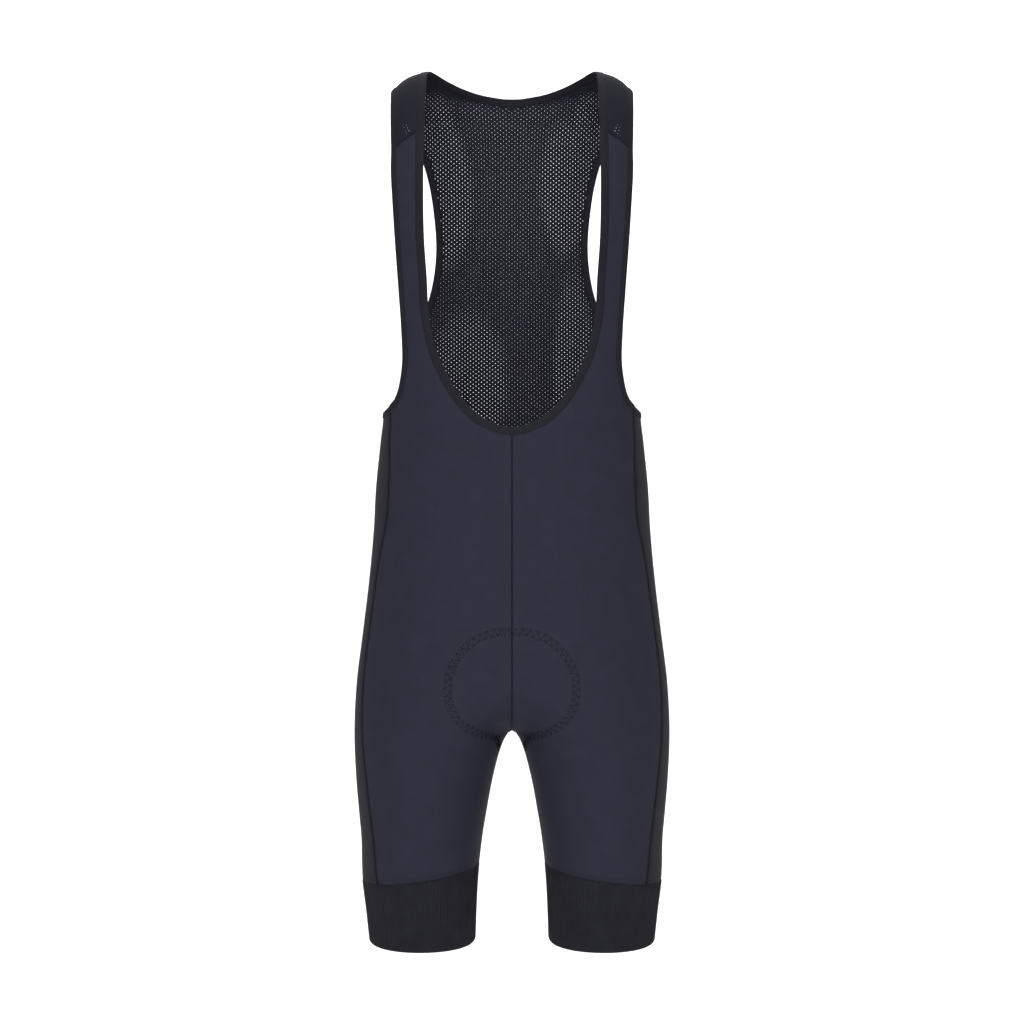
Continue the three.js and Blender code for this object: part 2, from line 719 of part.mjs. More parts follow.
// Gripper: a closed ribbed band, its ribs raised in the outer face over a plain inside
function gripperGeometry() {
  const outerCount = GRIPPER_RIBS * 2;
  const innerEvery = 4;
  const innerCount = outerCount / innerEvery;
  const half = SEAM_GAP / 2;
  const places = [];
  const bandPlace = (share, down) => {
    const top = gripperSeamPoint(share)[2] - half;
    return { z: mix(top, HEM_Z, down), share };
  };
  for (let row = 0; row <= GRIPPER_ROWS; row += 1) {
    for (let column = 0; column < outerCount; column += 1) {
      const { z, share } = bandPlace(column / outerCount, row / GRIPPER_ROWS);
      const raise = column % 2 === 0 ? GRIPPER_RIB_HEIGHT : 0;
      places.push(add(formPoint(share, z), scale(formNormal(share, z), raise)));
    }
  }
  const innerStart = places.length;
  for (let row = 0; row <= 1; row += 1) {
    for (let column = 0; column < innerCount; column += 1) {
      const { z, share } = bandPlace(column / innerCount, row);
      places.push(add(formPoint(share, z), scale(formNormal(share, z), -GRIPPER_WALL)));
    }
  }
  const outerAt = (row, column) => row * outerCount + (column % outerCount);
  const innerAt = (row, column) => innerStart + row * innerCount + (column % innerCount);
  const triangles = [];
  for (let row = 0; row < GRIPPER_ROWS; row += 1) {
    for (let column = 0; column < outerCount; column += 1) {
      const a = outerAt(row, column);
      const b = outerAt(row + 1, column);
      const c = outerAt(row + 1, column + 1);
      const d = outerAt(row, column + 1);
      triangles.push([a, b, c], [a, c, d]);
    }
  }
  for (let column = 0; column < innerCount; column += 1) {
    const a = innerAt(0, column);
    const b = innerAt(1, column);
    const c = innerAt(1, column + 1);
    const d = innerAt(0, column + 1);
    triangles.push([a, c, b], [a, d, c]);
    for (let part = 0; part < innerEvery; part += 1) {
      const outerColumn = column * innerEvery + part;
      const nearTop = part < innerEvery / 2 ? a : d;
      const nearHem = part < innerEvery / 2 ? b : c;
      triangles.push([nearTop, outerAt(0, outerColumn), outerAt(0, outerColumn + 1)]);
      triangles.push([nearHem, outerAt(GRIPPER_ROWS, outerColumn + 1), outerAt(GRIPPER_ROWS, outerColumn)]);
    }
    const middle = column * innerEvery + innerEvery / 2;
    triangles.push([a, outerAt(0, middle), d]);
    triangles.push([b, c, outerAt(GRIPPER_ROWS, middle)]);
  }
  return solidGeometry(places, triangles);
}

// Seat pad: lies inside the cloth over the crotch, as four quarters that share their centre lines
function padGrids() {
  const outset = -(PANEL_WALL + PAD_CLEARANCE);
  const inset = PANEL_WALL + PAD_CLEARANCE + PAD_WALL;
  const quarter = (onBack) => PAD_REACH.map((row) => {
    const section = halfSection(row.z);
    const reach = (onBack ? row.back : row.front) / section.total;
    const points = [];
    for (let column = 0; column <= PAD_COLUMNS; column += 1) {
      const share = reach * (column / PAD_COLUMNS);
      const used = onBack ? 1 - share : share;
      const place = formPoint(used, row.z);
      const normal = padNormal(used, row.z);
      points.push(wallPoint(place, normal, outset, inset));
    }
    return onBack ? points.reverse() : points;
  });
  return [quarter(false), quarter(true)];
}

// Outward normal for the pad: square to the centre line where the piece crosses it
function padNormal(share, z) {
  const onCentre = share === 0 || share === 1;
  if (!onCentre) return formNormal(share, z);
  if (z <= CROTCH_Z) {
    const arch = subtract(formPoint(0, z - 1), formPoint(0, Math.min(z + 1, CROTCH_Z)));
    return z === CROTCH_Z ? [0, 0, -1] : unit([arch[2], 0, -arch[0]]);
  }
  const above = formPoint(share, z + 1);
  const below = formPoint(share, Math.max(z - 1, CROTCH_Z + 0.01));
  const slope = subtract(below, above);
  return unit(share === 0 ? [0, slope[2], -slope[1]] : [0, -slope[2], slope[1]]);
}

function clothMaterial(cloth) {
  return new THREE.MeshStandardMaterial({
    color: cloth.color,
    roughness: cloth.roughness,
    metalness: 0,
  });
}

function addPiece(group, name, geometry, cloth) {
  const mesh = new THREE.Mesh(geometry, clothMaterial(cloth));
  mesh.name = name;
  group.add(mesh);
}

function mirroredGeometry(geometry) {
  const mirrored = geometry.clone();
  const position = mirrored.getAttribute('position');
  for (let index = 0; index < position.count; index += 1) {
    position.setX(index, -position.getX(index));
  }
  const faces = mirrored.getIndex();
  for (let index = 0; index < faces.count; index += 3) {
    const swapped = faces.getX(index + 1);
    faces.setX(index + 1, faces.getX(index + 2));
    faces.setX(index + 2, swapped);
  }
  mirrored.computeVertexNormals();
  return mirrored;
}

function addPair(group, name, geometry, cloth) {
  addPiece(group, `${name}_left`, geometry, cloth);
  addPiece(group, `${name}_right`, mirroredGeometry(geometry), cloth);
}

function buildShorts() {
  const group = new THREE.Group();
  group.name = 'bib_shorts';
  const grids = buildGrids();
  const normals = buildNormals(grids);

  const cornerRow = grids.ribbon.marks.strapSeam;
  const frontSeams = { firstFrom: cornerRow, lastFrom: cornerRow, top: true, bottom: true };
  const front = panelGrid(grids.front, normals, frontSeams);
  addPair(group, 'front', wallSolid([front]), CLOTH.front);

  const sideSeams = { firstFrom: 0, lastFrom: 0, top: false, bottom: true };
  const side = panelGrid(grids.side, normals, sideSeams);
  addPair(group, 'side', wallSolid([side]), CLOTH.side);

  const backSeams = { firstFrom: 0, lastFrom: 0, top: true, bottom: true };
  const back = panelGrid(grids.back, normals, backSeams);
  addPair(group, 'back', wallSolid([back]), CLOTH.back);

  const meshSideRow = grids.mesh.length - 1 - MESH_SEAM_RUNG;
  const meshSeams = { firstFrom: meshSideRow, lastFrom: Infinity, top: true, bottom: true };
  const mesh = panelGrid(grids.mesh, normals, meshSeams);
  addPiece(group, 'back_mesh', wallSolid([mesh], [mesh]), CLOTH.mesh);

  const neckLoop = bindingGrid(neckPath(grids), normals, NECK_BINDING_WIDTH, 1);
  const neck = neckLoop.slice(0, grids.ribbon.marks.neckBack + 1);
  addPiece(group, 'neck_binding', wallSolid([neck], [neck]), CLOTH.binding);

  const armhole = bindingGrid(armholePath(grids), normals, ARMHOLE_BINDING_WIDTH, -1);
  addPair(group, 'armhole_binding', wallSolid([armhole]), CLOTH.binding);

  addPair(group, 'gripper', gripperGeometry(), CLOTH.gripper);
  const pad = padGrids();
  addPiece(group, 'seat_pad', wallSolid(pad, pad), CLOTH.pad);
  return group;
}

export default buildShorts();
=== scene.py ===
import math
import bpy
import numpy as np
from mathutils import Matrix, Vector
from mathutils.bvhtree import BVHTree
from mathutils.geometry import barycentric_transform


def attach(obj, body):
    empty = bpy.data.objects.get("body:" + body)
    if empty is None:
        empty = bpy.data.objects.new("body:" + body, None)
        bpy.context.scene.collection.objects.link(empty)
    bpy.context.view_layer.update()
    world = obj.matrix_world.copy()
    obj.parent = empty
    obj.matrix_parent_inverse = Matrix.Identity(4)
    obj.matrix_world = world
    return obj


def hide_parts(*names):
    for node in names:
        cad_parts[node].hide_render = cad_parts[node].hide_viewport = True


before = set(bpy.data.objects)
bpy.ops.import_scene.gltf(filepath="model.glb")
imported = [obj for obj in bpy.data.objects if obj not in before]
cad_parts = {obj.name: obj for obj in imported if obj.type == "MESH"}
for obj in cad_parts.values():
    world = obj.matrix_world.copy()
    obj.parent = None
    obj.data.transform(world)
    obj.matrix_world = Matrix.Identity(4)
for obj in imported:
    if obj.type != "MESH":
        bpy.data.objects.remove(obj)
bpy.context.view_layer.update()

# Front panels
# Two mirror-image panels of smooth navy-black stretch knit, cut in one from the strap seam on the
# chest down to the leg bands. They are sewn to each other down the centre and along each inner leg.

MM = 0.001
TINY = 1e-9
CROTCH_Z = -713.0
TORSO_BLEND_TOP_Z = -630.0
CROTCH_BLEND = 32.0
GRIPPER_INNER_Z = -854.0
GRIPPER_OUTER_Z = -871.0
PANEL_WALL = 1.0
EDGE_TURN = 1.3
EDGE_SINK = 0.62
# Painted shade: how much the colour is darkened at a panel's edge, where the seam fold lies
FOLD_PAINTED_SHADE = 0.9
FRONT_COLUMNS = 27
SIDE_COLUMNS = 15
BACK_COLUMNS = 27
RUNG_PARTS = 3
RUNG_STEP = 7.0
SECTION_RAYS = 144
SECTION_STEP = 2.5
LOWEST_LEVEL = -945.0
HIGHEST_LEVEL = -30.0
EXACT_REACH = 30.0
FARTHEST = 260.0
HALVINGS = 22
SEAM_SETTLINGS = 4
SEAM_CREASE = 35
PLACE_DECIMALS = 2
LEVEL_DECIMALS = 3
CENTRE_COLUMNS = 8
MIRROR = np.array([-1.0, 1.0, 1.0])


def table_of(names, rows):
    return dict(zip(names.split(), np.array(rows, float).T))


# Half width, front depth, back depth and squareness of the worn form at each height
BODY = table_of("z outer front back square", [
    (0, 118, 8, 76, 2.3),
    (-20, 126, 24, 86, 2.3),
    (-40, 131, 40, 91.5, 2.3),
    (-60, 136, 54, 96, 2.3),
    (-100, 150, 78, 106, 2.4),
    (-150, 158, 98, 112, 2.4),
    (-200, 162, 108, 113, 2.4),
    (-260, 158, 110, 108, 2.4),
    (-320, 148, 107, 101, 2.4),
    (-370, 138.8, 103, 96, 2.4),
    (-400, 141.4, 103, 91, 2.4),
    (-450, 146.4, 103, 94, 2.4),
    (-500, 149.2, 103, 103, 2.4),
    (-555, 154.4, 104, 115, 2.4),
    (-607, 160.7, 105.5, 123, 2.4),
    (-659, 167.2, 106, 122, 2.3),
    (-711, 169.6, 99, 105, 2.2),
    (-762, 167.8, 95, 95, 2.1),
    (-800, 164.6, 90, 89.5, 2.1),
    (-827, 162.2, 86, 85, 2.1),
    (-866, 161.2, 77, 78.5, 2.1),
    (-905, 156.5, 69.5, 73, 2.1),
    (-940, 152.8, 66, 70, 2.1),
])

# Distance of the inner side of each leg from the centre line
LEG = table_of("z inner", [
    (-640, -11), (-713, 8), (-762, 20.7), (-801, 28), (-827, 32.2), (-866, 36.7), (-905, 38.9), (-940, 40),
])

# Side seams: distance inside the outline, on the front and on the back
SIDE_SEAM = table_of("z front back", [
    (-360, 9.5, 9), (-400, 12.5, 13), (-440, 16.5, 20), (-480, 17, 24), (-515, 12.8, 25.5),
    (-545, 10.5, 26), (-600, 9.5, 25), (-640, 9.8, 24), (-700, 12, 23), (-760, 15.5, 22),
    (-800, 17, 21), (-840, 18, 20), (-875, 21, 19),
])

# Lines across the front strap and chest: the neck seam and the armhole seam, from the chest upwards
FRONT_RUNGS = [
    (13.5, -396.7, 126.2, -369.2), (33.9, -388, 121, -364.5), (56.6, -366.4, 115.4, -354.5),
    (72.5, -341, 111.6, -340.5), (85.7, -310.5, 108.8, -320), (93.4, -273, 109.6, -285),
    (95.5, -237, 112.3, -245), (98.5, -195, 115.4, -204), (100, -140, 119.6, -150), (100.2, -101, 122, -115),
]

# Lines over the shoulder, from the front strap seam to the back: neck end, armhole end and crown
SHOULDER_RUNGS = [
    ((100.3, -55, -77), (123, -50, -93), (0.4, -2.6, 0.6)),
    ((100.3, -45, -51), (124.4, -40, -69), (0.8, -2.8, 1.6)),
    ((100, -33, -28.5), (125.6, -28, -46), (1.2, -2.6, 2.4)),
    ((99.5, -18, -11), (126.2, -13.5, -27.5), (1.4, -1.6, 2.8)),
    ((98, 2, -2.6), (126.4, 2, -18.6), (1.2, 0, 2.6)),
    ((92, 30, 1), (125.6, 16, -20), (1.6, 2, 3.4)),
    ((80, 54, -1.6), (123, 30, -25.5), (2.4, 4.4, 5)),
    ((60, 73, -8), (118.6, 44, -34), (3, 7.6, 6)),
    ((33, 84.5, -15.4), (113, 57, -44), (3, 10, 5.4)),
    ((0, 86, -20.6), (106, 68, -56), (3, 11, 2.6)),
]

# Lines across the back, from the centre to the armhole seam, from the neck downwards
BACK_RUNGS = [
    (-43, 100, -70), (-65, 94.2, -83.5), (-88, 89.6, -99), (-118, 84.6, -124), (-180, 80, -180),
    (-232, 86, -229), (-290, 104.6, -285), (-326, 113, -319), (-351, 120, -343.5),
]

# Lines round the lower body: heights at the centre front, the two side seams and the centre back,
# and how far the line drops between the side seams
LOWER_RUNGS = table_of("front side_front side_back back sag", [
    (-398.5, -371.5, -365, -375, 7.5),
    (-410, -386, -382, -399, 4),
    (-426, -406, -403, -425, 1.5),
    (-447, -430, -429, -447, 0),
    (-470, -457, -456, -470, 0),
    (-495, -486, -486, -495, 0),
    (-520, -515, -515, -520, 0),
    (-545, -543, -543, -545, 0),
    (-570, -569, -569, -570, 0),
    (-595, -593, -593, -595, 0),
    (-618, -615, -615, -618, 0),
    (-640, -636, -636, -640, 0),
    (-660, -656, -656, -660, 0),
    (-677, -674, -674, -677, 0),
    (-690, -690, -690, -690, 0),
    (-700, -705, -705, -700, 0),
    (-707, -719, -719, -707, 0),
    (-711.5, -732, -732, -711.5, 0),
    (CROTCH_Z, -745, -745, CROTCH_Z, 0),
    (-716.5, -758, -758, -716.5, 0),
    (-725, -771, -771, -725, 0),
    (-738, -786, -786, -738, 0),
    (-756, -802, -802, -756, 0),
    (-778, -819, -819, -778, 0),
    (-803, -836, -836, -803, 0),
    (-829, -853, -853, -829, 0),
    (-841.5, -862, -862, -841.5, 0),
])
CROTCH_RUNG = 18
MESH_SEAM_RUNG = 2


def from_table(table, column, z):
    heights = table["z"]
    values = table[column]
    z = np.clip(np.asarray(z, float), heights[-1], heights[0])
    row = np.clip(np.searchsorted(-heights, -z, side="right") - 1, 0, len(heights) - 2)
    before = np.maximum(np.arange(len(heights)) - 1, 0)
    after = np.minimum(np.arange(len(heights)) + 1, len(heights) - 1)
    slopes = (values[after] - values[before]) / (heights[after] - heights[before])
    span = heights[row + 1] - heights[row]
    t = (z - heights[row]) / span
    rise = values[row + 1] - values[row]
    bend_start = slopes[row] * span - rise
    bend_end = rise - slopes[row + 1] * span
    return values[row] + rise * t + t * (1 - t) * (bend_start * (1 - t) + bend_end * t)


def oval_field(x, y, half_width, sizes):
    depth = np.where(y < 0, sizes["front"], sizes["back"])
    across = (np.abs(x) / half_width) ** sizes["square"]
    along = (np.abs(y) / depth) ** sizes["square"]
    return ((across + along) ** (1 / sizes["square"]) - 1) * half_width


# Below 0 inside the worn form: two legs run together, which turn into one torso above the crotch
def body_field(x, y, sizes):
    torso = oval_field(x, y, sizes["outer"], sizes)
    leg_centre = (sizes["outer"] + sizes["inner"]) / 2
    leg_half = (sizes["outer"] - sizes["inner"]) / 2
    near = oval_field(x - leg_centre, y, leg_half, sizes)
    far = oval_field(x + leg_centre, y, leg_half, sizes)
    closeness = np.maximum(CROTCH_BLEND - np.abs(near - far), 0) / CROTCH_BLEND
    legs = np.minimum(near, far) - closeness ** 2 * CROTCH_BLEND / 4
    return legs + (torso - legs) * sizes["torso_share"]


def sizes_at(z):
    sizes = {column: from_table(BODY, column, z) for column in ("outer", "front", "back", "square")}
    sizes["inner"] = from_table(LEG, "inner", z)
    sizes["axis"] = (sizes["outer"] + np.maximum(sizes["inner"], 0)) / 2
    blend = np.clip((z - CROTCH_Z) / (TORSO_BLEND_TOP_Z - CROTCH_Z), 0, 1)
    sizes["torso_share"] = blend * blend * (3 - 2 * blend)
    return sizes


def reach_surface(start_x, step_x, step_y, sizes):
    inside = np.zeros(np.broadcast(start_x, step_x).shape)
    to_centre = np.where(step_x < 0, start_x / np.maximum(-step_x, TINY), FARTHEST)
    outside = inside + np.minimum(FARTHEST, to_centre)
    for halving in range(HALVINGS):
        middle = (inside + outside) / 2
        is_inside = body_field(start_x + step_x * middle, step_y * middle, sizes) < 0
        inside = np.where(is_inside, middle, inside)
        outside = np.where(is_inside, outside, middle)
    return inside


# Left half of the sections at some heights, from the front centre (or inner leg) round to the back
def half_sections(z):
    sizes = {name: value[:, None] for name, value in sizes_at(z).items()}
    joined = (z > CROTCH_Z)[:, None]
    zero = np.zeros((len(z), 1))
    front_reach = reach_surface(zero, zero, zero - 1, sizes)
    back_reach = reach_surface(zero, zero, zero + 1, sizes)
    start_angle = np.where(joined, np.arctan2(-front_reach, -sizes["axis"]), -math.pi)
    end_angle = np.where(joined, np.arctan2(back_reach, -sizes["axis"]), math.pi)
    angle = start_angle + (end_angle - start_angle) * np.linspace(0, 1, SECTION_RAYS + 1)
    reach = reach_surface(sizes["axis"], np.cos(angle), np.sin(angle), sizes)
    points = np.stack([sizes["axis"] + np.cos(angle) * reach, np.sin(angle) * reach], axis=-1)
    inner_x = np.where(z == CROTCH_Z, 0, points[:, 0, 0])
    inner_leg = np.stack([inner_x, zero[:, 0]], axis=1)
    points[:, 0] = np.where(joined, np.hstack([zero, -front_reach]), inner_leg)
    points[:, -1] = np.where(joined, np.hstack([zero, back_reach]), points[:, 0])
    steps = np.linalg.norm(np.diff(points, axis=1), axis=2)
    lengths = np.hstack([zero, np.cumsum(steps, axis=1)])
    return points, lengths


def along_sections(points, lengths, share):
    target = np.clip(share, 0, 1) * lengths[:, -1]
    index = np.clip((lengths <= target[:, None]).sum(axis=1) - 1, 0, lengths.shape[1] - 2)
    rows = np.arange(len(index))
    start = lengths[rows, index]
    span = np.maximum(lengths[rows, index + 1] - start, TINY)
    t = np.clip((target - start) / span, 0, 1)[:, None]
    return points[rows, index] * (1 - t) + points[rows, index + 1] * t


levels = np.arange(LOWEST_LEVEL, HIGHEST_LEVEL + SECTION_STEP, SECTION_STEP)
level_points, level_lengths = half_sections(levels)


# Points on the worn form at shares of the way round and heights
def form_points(share, z):
    share, z = np.broadcast_arrays(np.asarray(share, float), np.asarray(z, float))
    shares = share.ravel()
    heights = z.ravel()
    places = np.zeros((heights.size, 3))
    places[:, 2] = heights
    exact = np.abs(heights - CROTCH_Z) < EXACT_REACH
    if exact.any():
        known, which = np.unique(np.round(heights[exact], LEVEL_DECIMALS), return_inverse=True)
        points, lengths = half_sections(known)
        places[exact, :2] = along_sections(points[which], lengths[which], shares[exact])
    if not exact.all():
        position = (heights[~exact] - LOWEST_LEVEL) / SECTION_STEP
        level = np.clip(np.floor(position).astype(int), 0, len(levels) - 2)
        t = (position - level)[:, None]
        low = along_sections(level_points[level], level_lengths[level], shares[~exact])
        high = along_sections(level_points[level + 1], level_lengths[level + 1], shares[~exact])
        places[~exact, :2] = low * (1 - t) + high * t
    return places.reshape(share.shape + (3,))


def share_at(z, x, on_back):
    points, lengths = half_sections(np.array([float(z)]))
    across = points[0, :, 0]
    shares = lengths[0] / lengths[0, -1]
    widest = int(np.argmax(across))
    if on_back:
        return float(np.interp(x, across[:widest - 1:-1], shares[:widest - 1:-1]))
    return float(np.interp(x, across[:widest + 1], shares[:widest + 1]))


def seam_share(z, column):
    inside = from_table(SIDE_SEAM, column, z)
    return share_at(z, from_table(BODY, "outer", z) - inside, column == "back")


def ease(t):
    return (1 - np.cos(math.pi * t)) / 2


def form_rung(start, end, columns):
    t = np.linspace(0, 1, columns + 1)
    return form_points(start[0] + (end[0] - start[0]) * t, start[1] + (end[1] - start[1]) * ease(t))


# Points on the top edge of the leg band, a level that drops towards the outside of the leg
def gripper_seam_points(share):
    inner_x = from_table(LEG, "inner", GRIPPER_INNER_Z)
    outer_x = from_table(BODY, "outer", GRIPPER_OUTER_Z)
    z = np.full(np.shape(share), (GRIPPER_INNER_Z + GRIPPER_OUTER_Z) / 2)
    for settling in range(SEAM_SETTLINGS):
        x = form_points(share, z)[..., 0]
        z = GRIPPER_INNER_Z + (GRIPPER_OUTER_Z - GRIPPER_INNER_Z) * (x - inner_x) / (outer_x - inner_x)
    return form_points(share, z)


def build_lower_rungs():
    rungs = {"front": [], "side": [], "back": []}
    count = len(LOWER_RUNGS["front"])
    for position in np.linspace(0, count - 1, (count - 1) * RUNG_PARTS + 1):
        row = {name: np.interp(position, np.arange(count), values) for name, values in LOWER_RUNGS.items()}
        seam_front = (seam_share(row["side_front"], "front"), row["side_front"])
        seam_back = (seam_share(row["side_back"], "back"), row["side_back"])
        t = np.linspace(0, 1, SIDE_COLUMNS + 1)
        side_z = seam_front[1] + (seam_back[1] - seam_front[1]) * ease(t) - row["sag"] * 4 * t * (1 - t)
        rungs["front"].append(form_rung((0, row["front"]), seam_front, FRONT_COLUMNS))
        rungs["side"].append(form_points(seam_front[0] + (seam_back[0] - seam_front[0]) * t, side_z))
        rungs["back"].append(form_rung(seam_back, (1, row["back"]), BACK_COLUMNS))
    front_share = seam_share(GRIPPER_OUTER_Z, "front")
    back_share = seam_share(GRIPPER_OUTER_Z, "back")
    rungs["front"].append(gripper_seam_points(np.linspace(0, front_share, FRONT_COLUMNS + 1)))
    rungs["side"].append(gripper_seam_points(np.linspace(front_share, back_share, SIDE_COLUMNS + 1)))
    rungs["back"].append(gripper_seam_points(np.linspace(back_share, 1, BACK_COLUMNS + 1)))
    return {name: np.array(rows) for name, rows in rungs.items()}


# Line of points on smooth curves through four lines, between the middle two
def smooth_between(a, b, c, d, t):
    def knot_step(start, end):
        return np.sqrt(np.linalg.norm(end - start, axis=-1, keepdims=True))

    knot_b = knot_step(a, b)
    knot_c = knot_b + knot_step(b, c)
    knot_d = knot_c + knot_step(c, d)
    knot = knot_b + (knot_c - knot_b) * t
    ab = a + (b - a) * knot / knot_b
    bc = b + (c - b) * (knot - knot_b) / (knot_c - knot_b)
    cd = c + (d - c) * (knot - knot_c) / (knot_d - knot_c)
    abc = ab + (bc - ab) * knot / knot_c
    bcd = bc + (cd - bc) * (knot - knot_b) / (knot_d - knot_b)
    return abc + (bcd - abc) * (knot - knot_b) / (knot_c - knot_b)


# The strip that climbs the chest, crosses the shoulder and comes down the back, neck edge first
def build_ribbon(lower):
    second = RUNG_PARTS
    keys = [lower["front"][second], lower["front"][0]]
    for neck_x, neck_z, arm_x, arm_z in FRONT_RUNGS:
        neck = (share_at(neck_z, neck_x, False), neck_z)
        arm = (share_at(arm_z, arm_x, False), arm_z)
        keys.append(form_rung(neck, arm, FRONT_COLUMNS))
    strap_seam_key = len(keys)
    t = np.linspace(0, 1, BACK_COLUMNS + 1)[:, None]
    for neck, arm, crown in SHOULDER_RUNGS:
        keys.append(np.array(neck) * (1 - t) + np.array(arm) * t + np.array(crown) * 4 * t * (1 - t))
    neck_back_key = len(keys) - 1
    for centre_z, arm_x, arm_z in BACK_RUNGS:
        keys.append(form_rung((1, centre_z), (share_at(arm_z, arm_x, True), arm_z), BACK_COLUMNS))
    keys.append(lower["back"][0][::-1])
    keys.append(lower["back"][second][::-1])
    rungs = []
    marks = {}
    middle = FRONT_COLUMNS // 2
    near_centre = np.clip(1 - np.arange(BACK_COLUMNS + 1) / CENTRE_COLUMNS, 0, 1)[:, None]
    for key in range(1, len(keys) - 2):
        if key == strap_seam_key:
            marks["strap_seam"] = len(rungs)
        if key == neck_back_key:
            marks["neck_back"] = len(rungs)
        gap = np.linalg.norm(keys[key + 1][middle] - keys[key][middle])
        parts = max(1, round(gap / RUNG_STEP))
        before = keys[key - 1].copy()
        beyond = keys[key + 2].copy()
        if key + 1 == neck_back_key:
            level_end = keys[key] * MIRROR
            beyond += (level_end - beyond) * near_centre
        if key == neck_back_key:
            straight_start = 2 * keys[key] - keys[key + 1]
            before += (straight_start - before) * near_centre
        for part in range(parts):
            rungs.append(smooth_between(before, keys[key], keys[key + 1], beyond, part / parts))
    rungs.append(keys[-2])
    return np.array(rungs), marks


lower_rungs = build_lower_rungs()
ribbon, ribbon_marks = build_ribbon(lower_rungs)
strap_seam = ribbon_marks["strap_seam"]
neck_back = ribbon_marks["neck_back"]
mesh_seam = MESH_SEAM_RUNG * RUNG_PARTS
cloth_grids = {
    "front": np.concatenate([ribbon[strap_seam::-1], lower_rungs["front"][1:]]),
    "side": lower_rungs["side"],
    "mesh": np.concatenate([ribbon[strap_seam:, ::-1], lower_rungs["back"][1:mesh_seam + 1]]),
    "back": lower_rungs["back"][mesh_seam:],
}


# Outward directions at the points of every panel, both halves together, shared where panels meet
def cloth_normals(grids):
    places = []
    directions = []
    for grid in grids.values():
        a, b, c, d = grid[:-1, :-1], grid[1:, :-1], grid[1:, 1:], grid[:-1, 1:]
        face = np.cross(c - a, d - b)
        total = np.zeros_like(grid)
        total[:-1, :-1] += face
        total[1:, :-1] += face
        total[1:, 1:] += face
        total[:-1, 1:] += face
        for side in (1, -1):
            flip = MIRROR if side < 0 else 1
            places.append((grid * flip).reshape(-1, 3))
            directions.append((total * flip).reshape(-1, 3))
    keys = np.round(np.concatenate(places), PLACE_DECIMALS) + 0.0
    known, which = np.unique(keys, axis=0, return_inverse=True)
    which = which.ravel()
    sums = np.zeros_like(known)
    np.add.at(sums, which, np.concatenate(directions))
    sums /= np.maximum(np.linalg.norm(sums, axis=1, keepdims=True), TINY)
    normals = {}
    start = 0
    for name, grid in grids.items():
        size = grid.shape[0] * grid.shape[1]
        normals[name] = sums[which[start:start + size]].reshape(grid.shape)
        start += 2 * size
    return normals


normals = cloth_normals(cloth_grids)


def toward(start, end, distance):
    way = end - start
    return start + way * (distance / np.maximum(np.linalg.norm(way, axis=-1, keepdims=True), TINY))


# Rows of points with one more row just inside the first and one more just inside the last
def with_edge_rows(rows):
    near_first = toward(rows[0], rows[1], EDGE_TURN)
    near_last = toward(rows[-1], rows[-2], EDGE_TURN)
    return np.concatenate([rows[:1], near_first[None], rows[1:-1], near_last[None], rows[-1:]])


def with_ends_doubled(rows):
    return np.concatenate([rows[:1], rows, rows[-1:]])


# Grid with a line of points added just inside each edge, and how far its edge sinks into the seam
def seamed_grid(grid, directions):
    places = with_edge_rows(with_edge_rows(grid).swapaxes(0, 1)).swapaxes(0, 1)
    outward = with_ends_doubled(with_ends_doubled(directions).swapaxes(0, 1)).swapaxes(0, 1)
    sink = np.zeros(places.shape[:2])
    sink[[0, -1]] = EDGE_SINK
    sink[:, [0, -1]] = EDGE_SINK
    return places, outward, sink[..., None]


# Distances along the cloth from a grid's first corner, in metres, as the cut lies flat
def cut_places(places):
    across = np.linalg.norm(np.diff(places, axis=1), axis=2)
    down = np.linalg.norm(np.diff(places, axis=0), axis=2).mean(axis=1)
    u = np.hstack([np.zeros((len(places), 1)), np.cumsum(across, axis=1)])
    v = np.concatenate([[0], np.cumsum(down)])
    return np.stack([u, np.broadcast_to(v[:, None], u.shape)], axis=-1) * MM


def placed_object(name, data):
    placed = bpy.data.objects.new(name, data)
    bpy.context.collection.objects.link(placed)
    return placed


# Gives a mesh its flat layout, the place of each point on the cut cloth in metres
def write_cut(mesh, cuts):
    corners = np.zeros(len(mesh.loops), int)
    mesh.loops.foreach_get("vertex_index", corners)
    uv_layer = mesh.uv_layers.new(name="cut")
    uv_layer.uv.foreach_set("vector", np.array(cuts)[corners].astype(np.float32).ravel())


def point_attribute(mesh, name, values):
    mesh.attributes.new(name, "FLOAT", "POINT").data.foreach_set("value", np.array(values, float))


